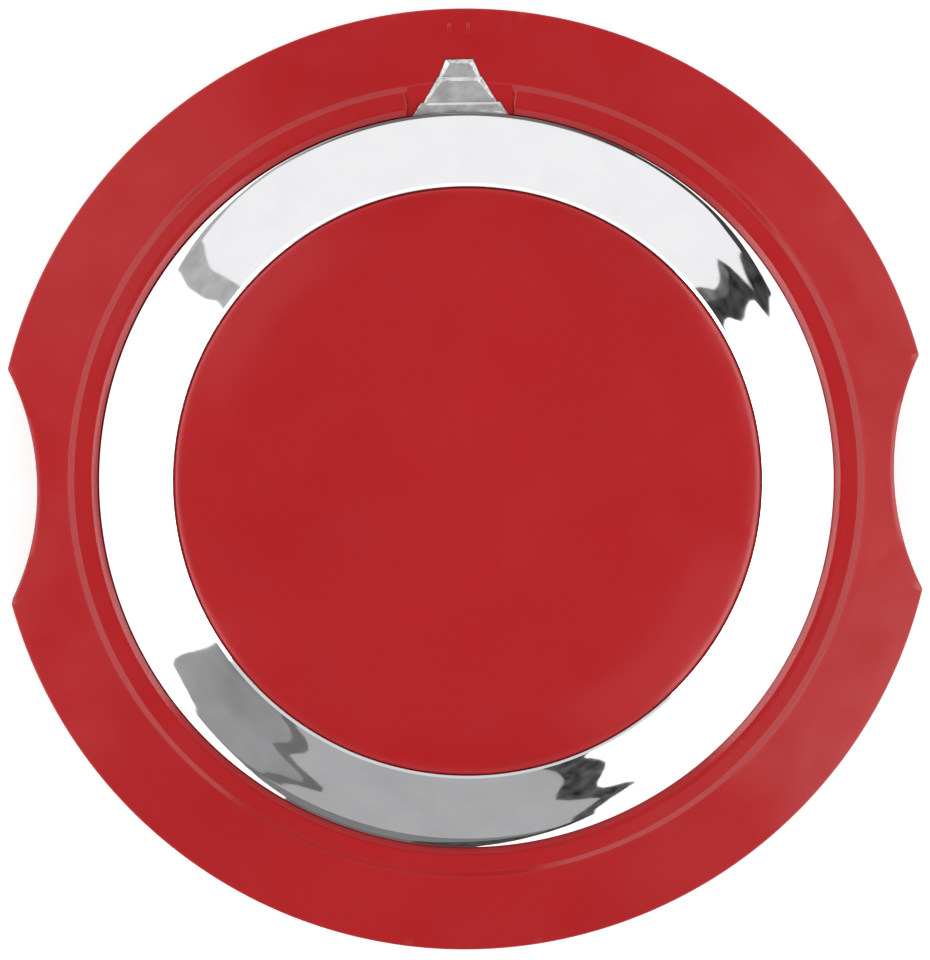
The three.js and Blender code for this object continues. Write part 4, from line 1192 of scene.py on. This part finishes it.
def turned_parts():
    """Capacitor, LED and speaker: solids of revolution that stand upright."""
    speaker_at = (0, SPEAKER_Y)
    ripples = [(10.6 + 0.5 * k, 4.62 + (0.16 if k % 2 else -0.1), 0.2) for k in range(1, 7)]
    for name, slot, node, segments, spot, arc_steps, closed, outline in (
        ("capacitor_can", "capacitor_sleeve", "capacitor", 64, (-19, 4), 5, False, [
            (0, 8.75, 0), (1.7, 8.75, 0.1), (1.85, 8.6, 0.15), (2.5, 8.6, 0.3), (2.5, 12.9, 0.3),
            (2.25, 13.25, 0.3), (2.5, 13.6, 0.3), (2.5, 14.1, 0.25), (2.0, 14.3, 0.1), (0, 14.3, 0)]),
        ("led_dome", "led_red", "status_led", 64, (0, LED_Y), 6, False, [
            (0, 16.5, 0), (1.9, 16.5, 0.05), (1.9, 17.1, 0.1), (1.5, 17.1, 0.05), (1.5, 18.1, 0.5),
            (1.1, 18.6, 0.4), (0, 18.8, 0)]),
        ("speaker_basket", "speaker_steel", "speaker_frame", 128, speaker_at, 6, True, [
            (15.4, WALL_LOW, 0.1), (SPEAKER_R, WALL_LOW, 0.15), (SPEAKER_R, 4.7, 0.3), (16, 4.7, 0.6),
            (14.6, 7.6, 0.8), (9.4, 9.2, 1.2), (3.4, 9.2, 0.1), (3.4, 8.6, 0.1), (8.9, 8.6, 0.8),
            (13.9, 7.1, 0.6)]),
        ("speaker_disc", "speaker_ferrite", "speaker_magnet", 96, speaker_at, 6, False, [
            (0, 9.5, 0), (7.8, 9.5, 0.3), (7.8, 12.5, 0.4), (0, 12.5, 0)]),
        ("speaker_diaphragm", "speaker_paper", "speaker_cone", 128, speaker_at, 5, False, [
            (0, 6.0, 0), (1.6, 6.15, 1), (3.2, 6.8, 0.3), (10.5, 4.75, 0.3), *ripples,
            (14.5, 4.35, 0.1), (14.5, 4.75, 0.1), (13.2, 5.1, 0.3), (10.8, 5.35, 0.4), (3.2, 7.5, 0.3),
            (3.2, 8.9, 0.1), (0, 8.9, 0)]),
    ):
        made = revolve(rounded(outline, closed, arc_steps), segments, spot, closed=closed)
        placed(name, made, slot, node)


def battery_cells():
    """Two cells laid along X, the first with its plus end towards +X."""
    half = CELL_LENGTH / 2
    sleeve = rounded([
        (4.3, -half + 0.12, 0.1), (4.75, -half + 0.05, 0.1), (CELL_R, -half + 0.5, 0.4),
        (CELL_R, half - 1.6, 0.5), (4.6, half - 0.95, 0.3), (4.2, half - 1.0, 0.05), (4.2, half - 1.4, 0.05),
        (4.3, -half + 0.6, 0.05),
    ], closed=True, arc_steps=5)
    can = rounded([
        (0, -half + 0.0, 0), (3.6, -half, 0.3), (4.2, -half + 0.25, 0.1), (4.2, half - 1.4, 0.1),
        (1.95, half - 1.2, 0.3), (1.9, half - 0.2, 0.1), (1.7, half, 0.15), (0, half, 0),
    ], arc_steps=5)
    for number, (y, way) in enumerate(zip(CELL_YS, (1, -1)), 1):
        wrap, ends = revolve(sleeve, 96, closed=True), revolve(can, 96)
        for part, obj, slot in (("wrap", wrap, "cell_jacket"), ("can", ends, "contact_nickel")):
            obj.data.transform(Matrix.Rotation(way * pi / 2, 4, "Y"))
            obj.data.transform(Matrix.Translation((0, y * MM, CELL_Z * MM)))
            placed(f"cell_{number}_{part}", obj, slot, f"battery_cell_{number}")


def contact(name, node, end, y0, y1, tag_y, coil_y=None):
    """A sprung plate against an end wall of the bay, its tag out through the wall."""
    inner = end * (BAY_X - GAP)
    made = block(sorted((inner, inner - end * 0.5)), (y0, y1), (4.4, 14.2), 0.12)
    tag = block(sorted((inner - end * 0.4, end * (BAY_X + BAY_WALL + 1.6))),
                (tag_y - 1.2, tag_y + 1.2), (12.4, 12.9), 0.1)
    unite(made, tag)
    finish_mesh(made.data, 40)
    if coil_y is not None:
        depth = BAY_X - GAP - 0.4 - CELL_LENGTH / 2 - 0.7
        points = helix(4, 2.2, 0, depth, 2.5, 40)
        start = end * (BAY_X - GAP - 0.5)
        points = [(start - end * z, coil_y + y, CELL_Z - end * x) for x, y, z in points]
        made = joined([made, wire_along(points, 0.4)])
    placed(name, made, "contact_nickel", node)


def contacts():
    low, high = CELL_YS
    contact("bridge_plate", "contact_bridge", -1, low - 4.4, high + 4.4, low, low)
    contact("negative_plate", "contact_negative", 1, high - 4.4, high + 4.4, high, high)
    contact("positive_plate", "contact_positive", 1, low - 4.4, low + 4.4, low)


def catmull_rom(points, steps=10):
    """A smooth centripetal curve through the points."""
    knots = [Vector(p) for p in points]
    knots = [2 * knots[0] - knots[1]] + knots + [2 * knots[-1] - knots[-2]]
    out = []
    for p0, p1, p2, p3 in zip(knots, knots[1:], knots[2:], knots[3:]):
        t0 = 0
        t1 = t0 + (p1 - p0).length ** 0.5
        t2 = t1 + (p2 - p1).length ** 0.5
        t3 = t2 + (p3 - p2).length ** 0.5
        for k in range(steps):
            t = t1 + (t2 - t1) * k / steps

            def between(p, q, low, high, t=t):
                return p * ((high - t) / (high - low)) + q * ((t - low) / (high - low))

            a1, a2, a3 = between(p0, p1, t0, t1), between(p1, p2, t1, t2), between(p2, p3, t2, t3)
            out.append(between(between(a1, a2, t0, t2), between(a2, a3, t1, t3), t1, t2))
    return out + [Vector(points[-1])]


WIRES = {
    "battery_wire_red": [
        (30.2, -25.6, 13.6), (32, -20, 13.6), (32, -10, 13),
        (29.4, -3.2, 12), (24.6, 1.4, 12), (22.6, 3.6, 14),
    ],
    "battery_wire_black": [
        (30.3, -14.4, 13.6), (30.9, -10, 14.2), (29.6, -5, 14.2),
        (26.4, -2.4, 13.4), (22.4, 0.5, 12.2), (19.9, 0.6, 14),
    ],
    "speaker_wire_red": [(-9.5, 11.5, 9.9), (-11, 9, 11), (-12, 8, 12.6), (-12, 8, 14)],
    "speaker_wire_black": [(-6.5, 9.7, 9.9), (-7.6, 6.4, 11), (-8, 4.4, 12.6), (-8, 4.2, 14)],
}


def wires():
    for node, points in WIRES.items():
        slot = "wire_" + node.split("_")[-1]
        placed(node + "_lead", wire_along(catmull_rom(points), 0.55, 16), slot, node)


make_camera()
make_studio()
upper_housing()
chrome_ring()
button_cap()
led_lens()
base_cover()
battery_door()
rubber_feet()
screws()
power_switch()
carrier()
return_spring()
switch_dome()
circuit_board()
sound_chip()
turned_parts()
battery_cells()
contacts()
wires()
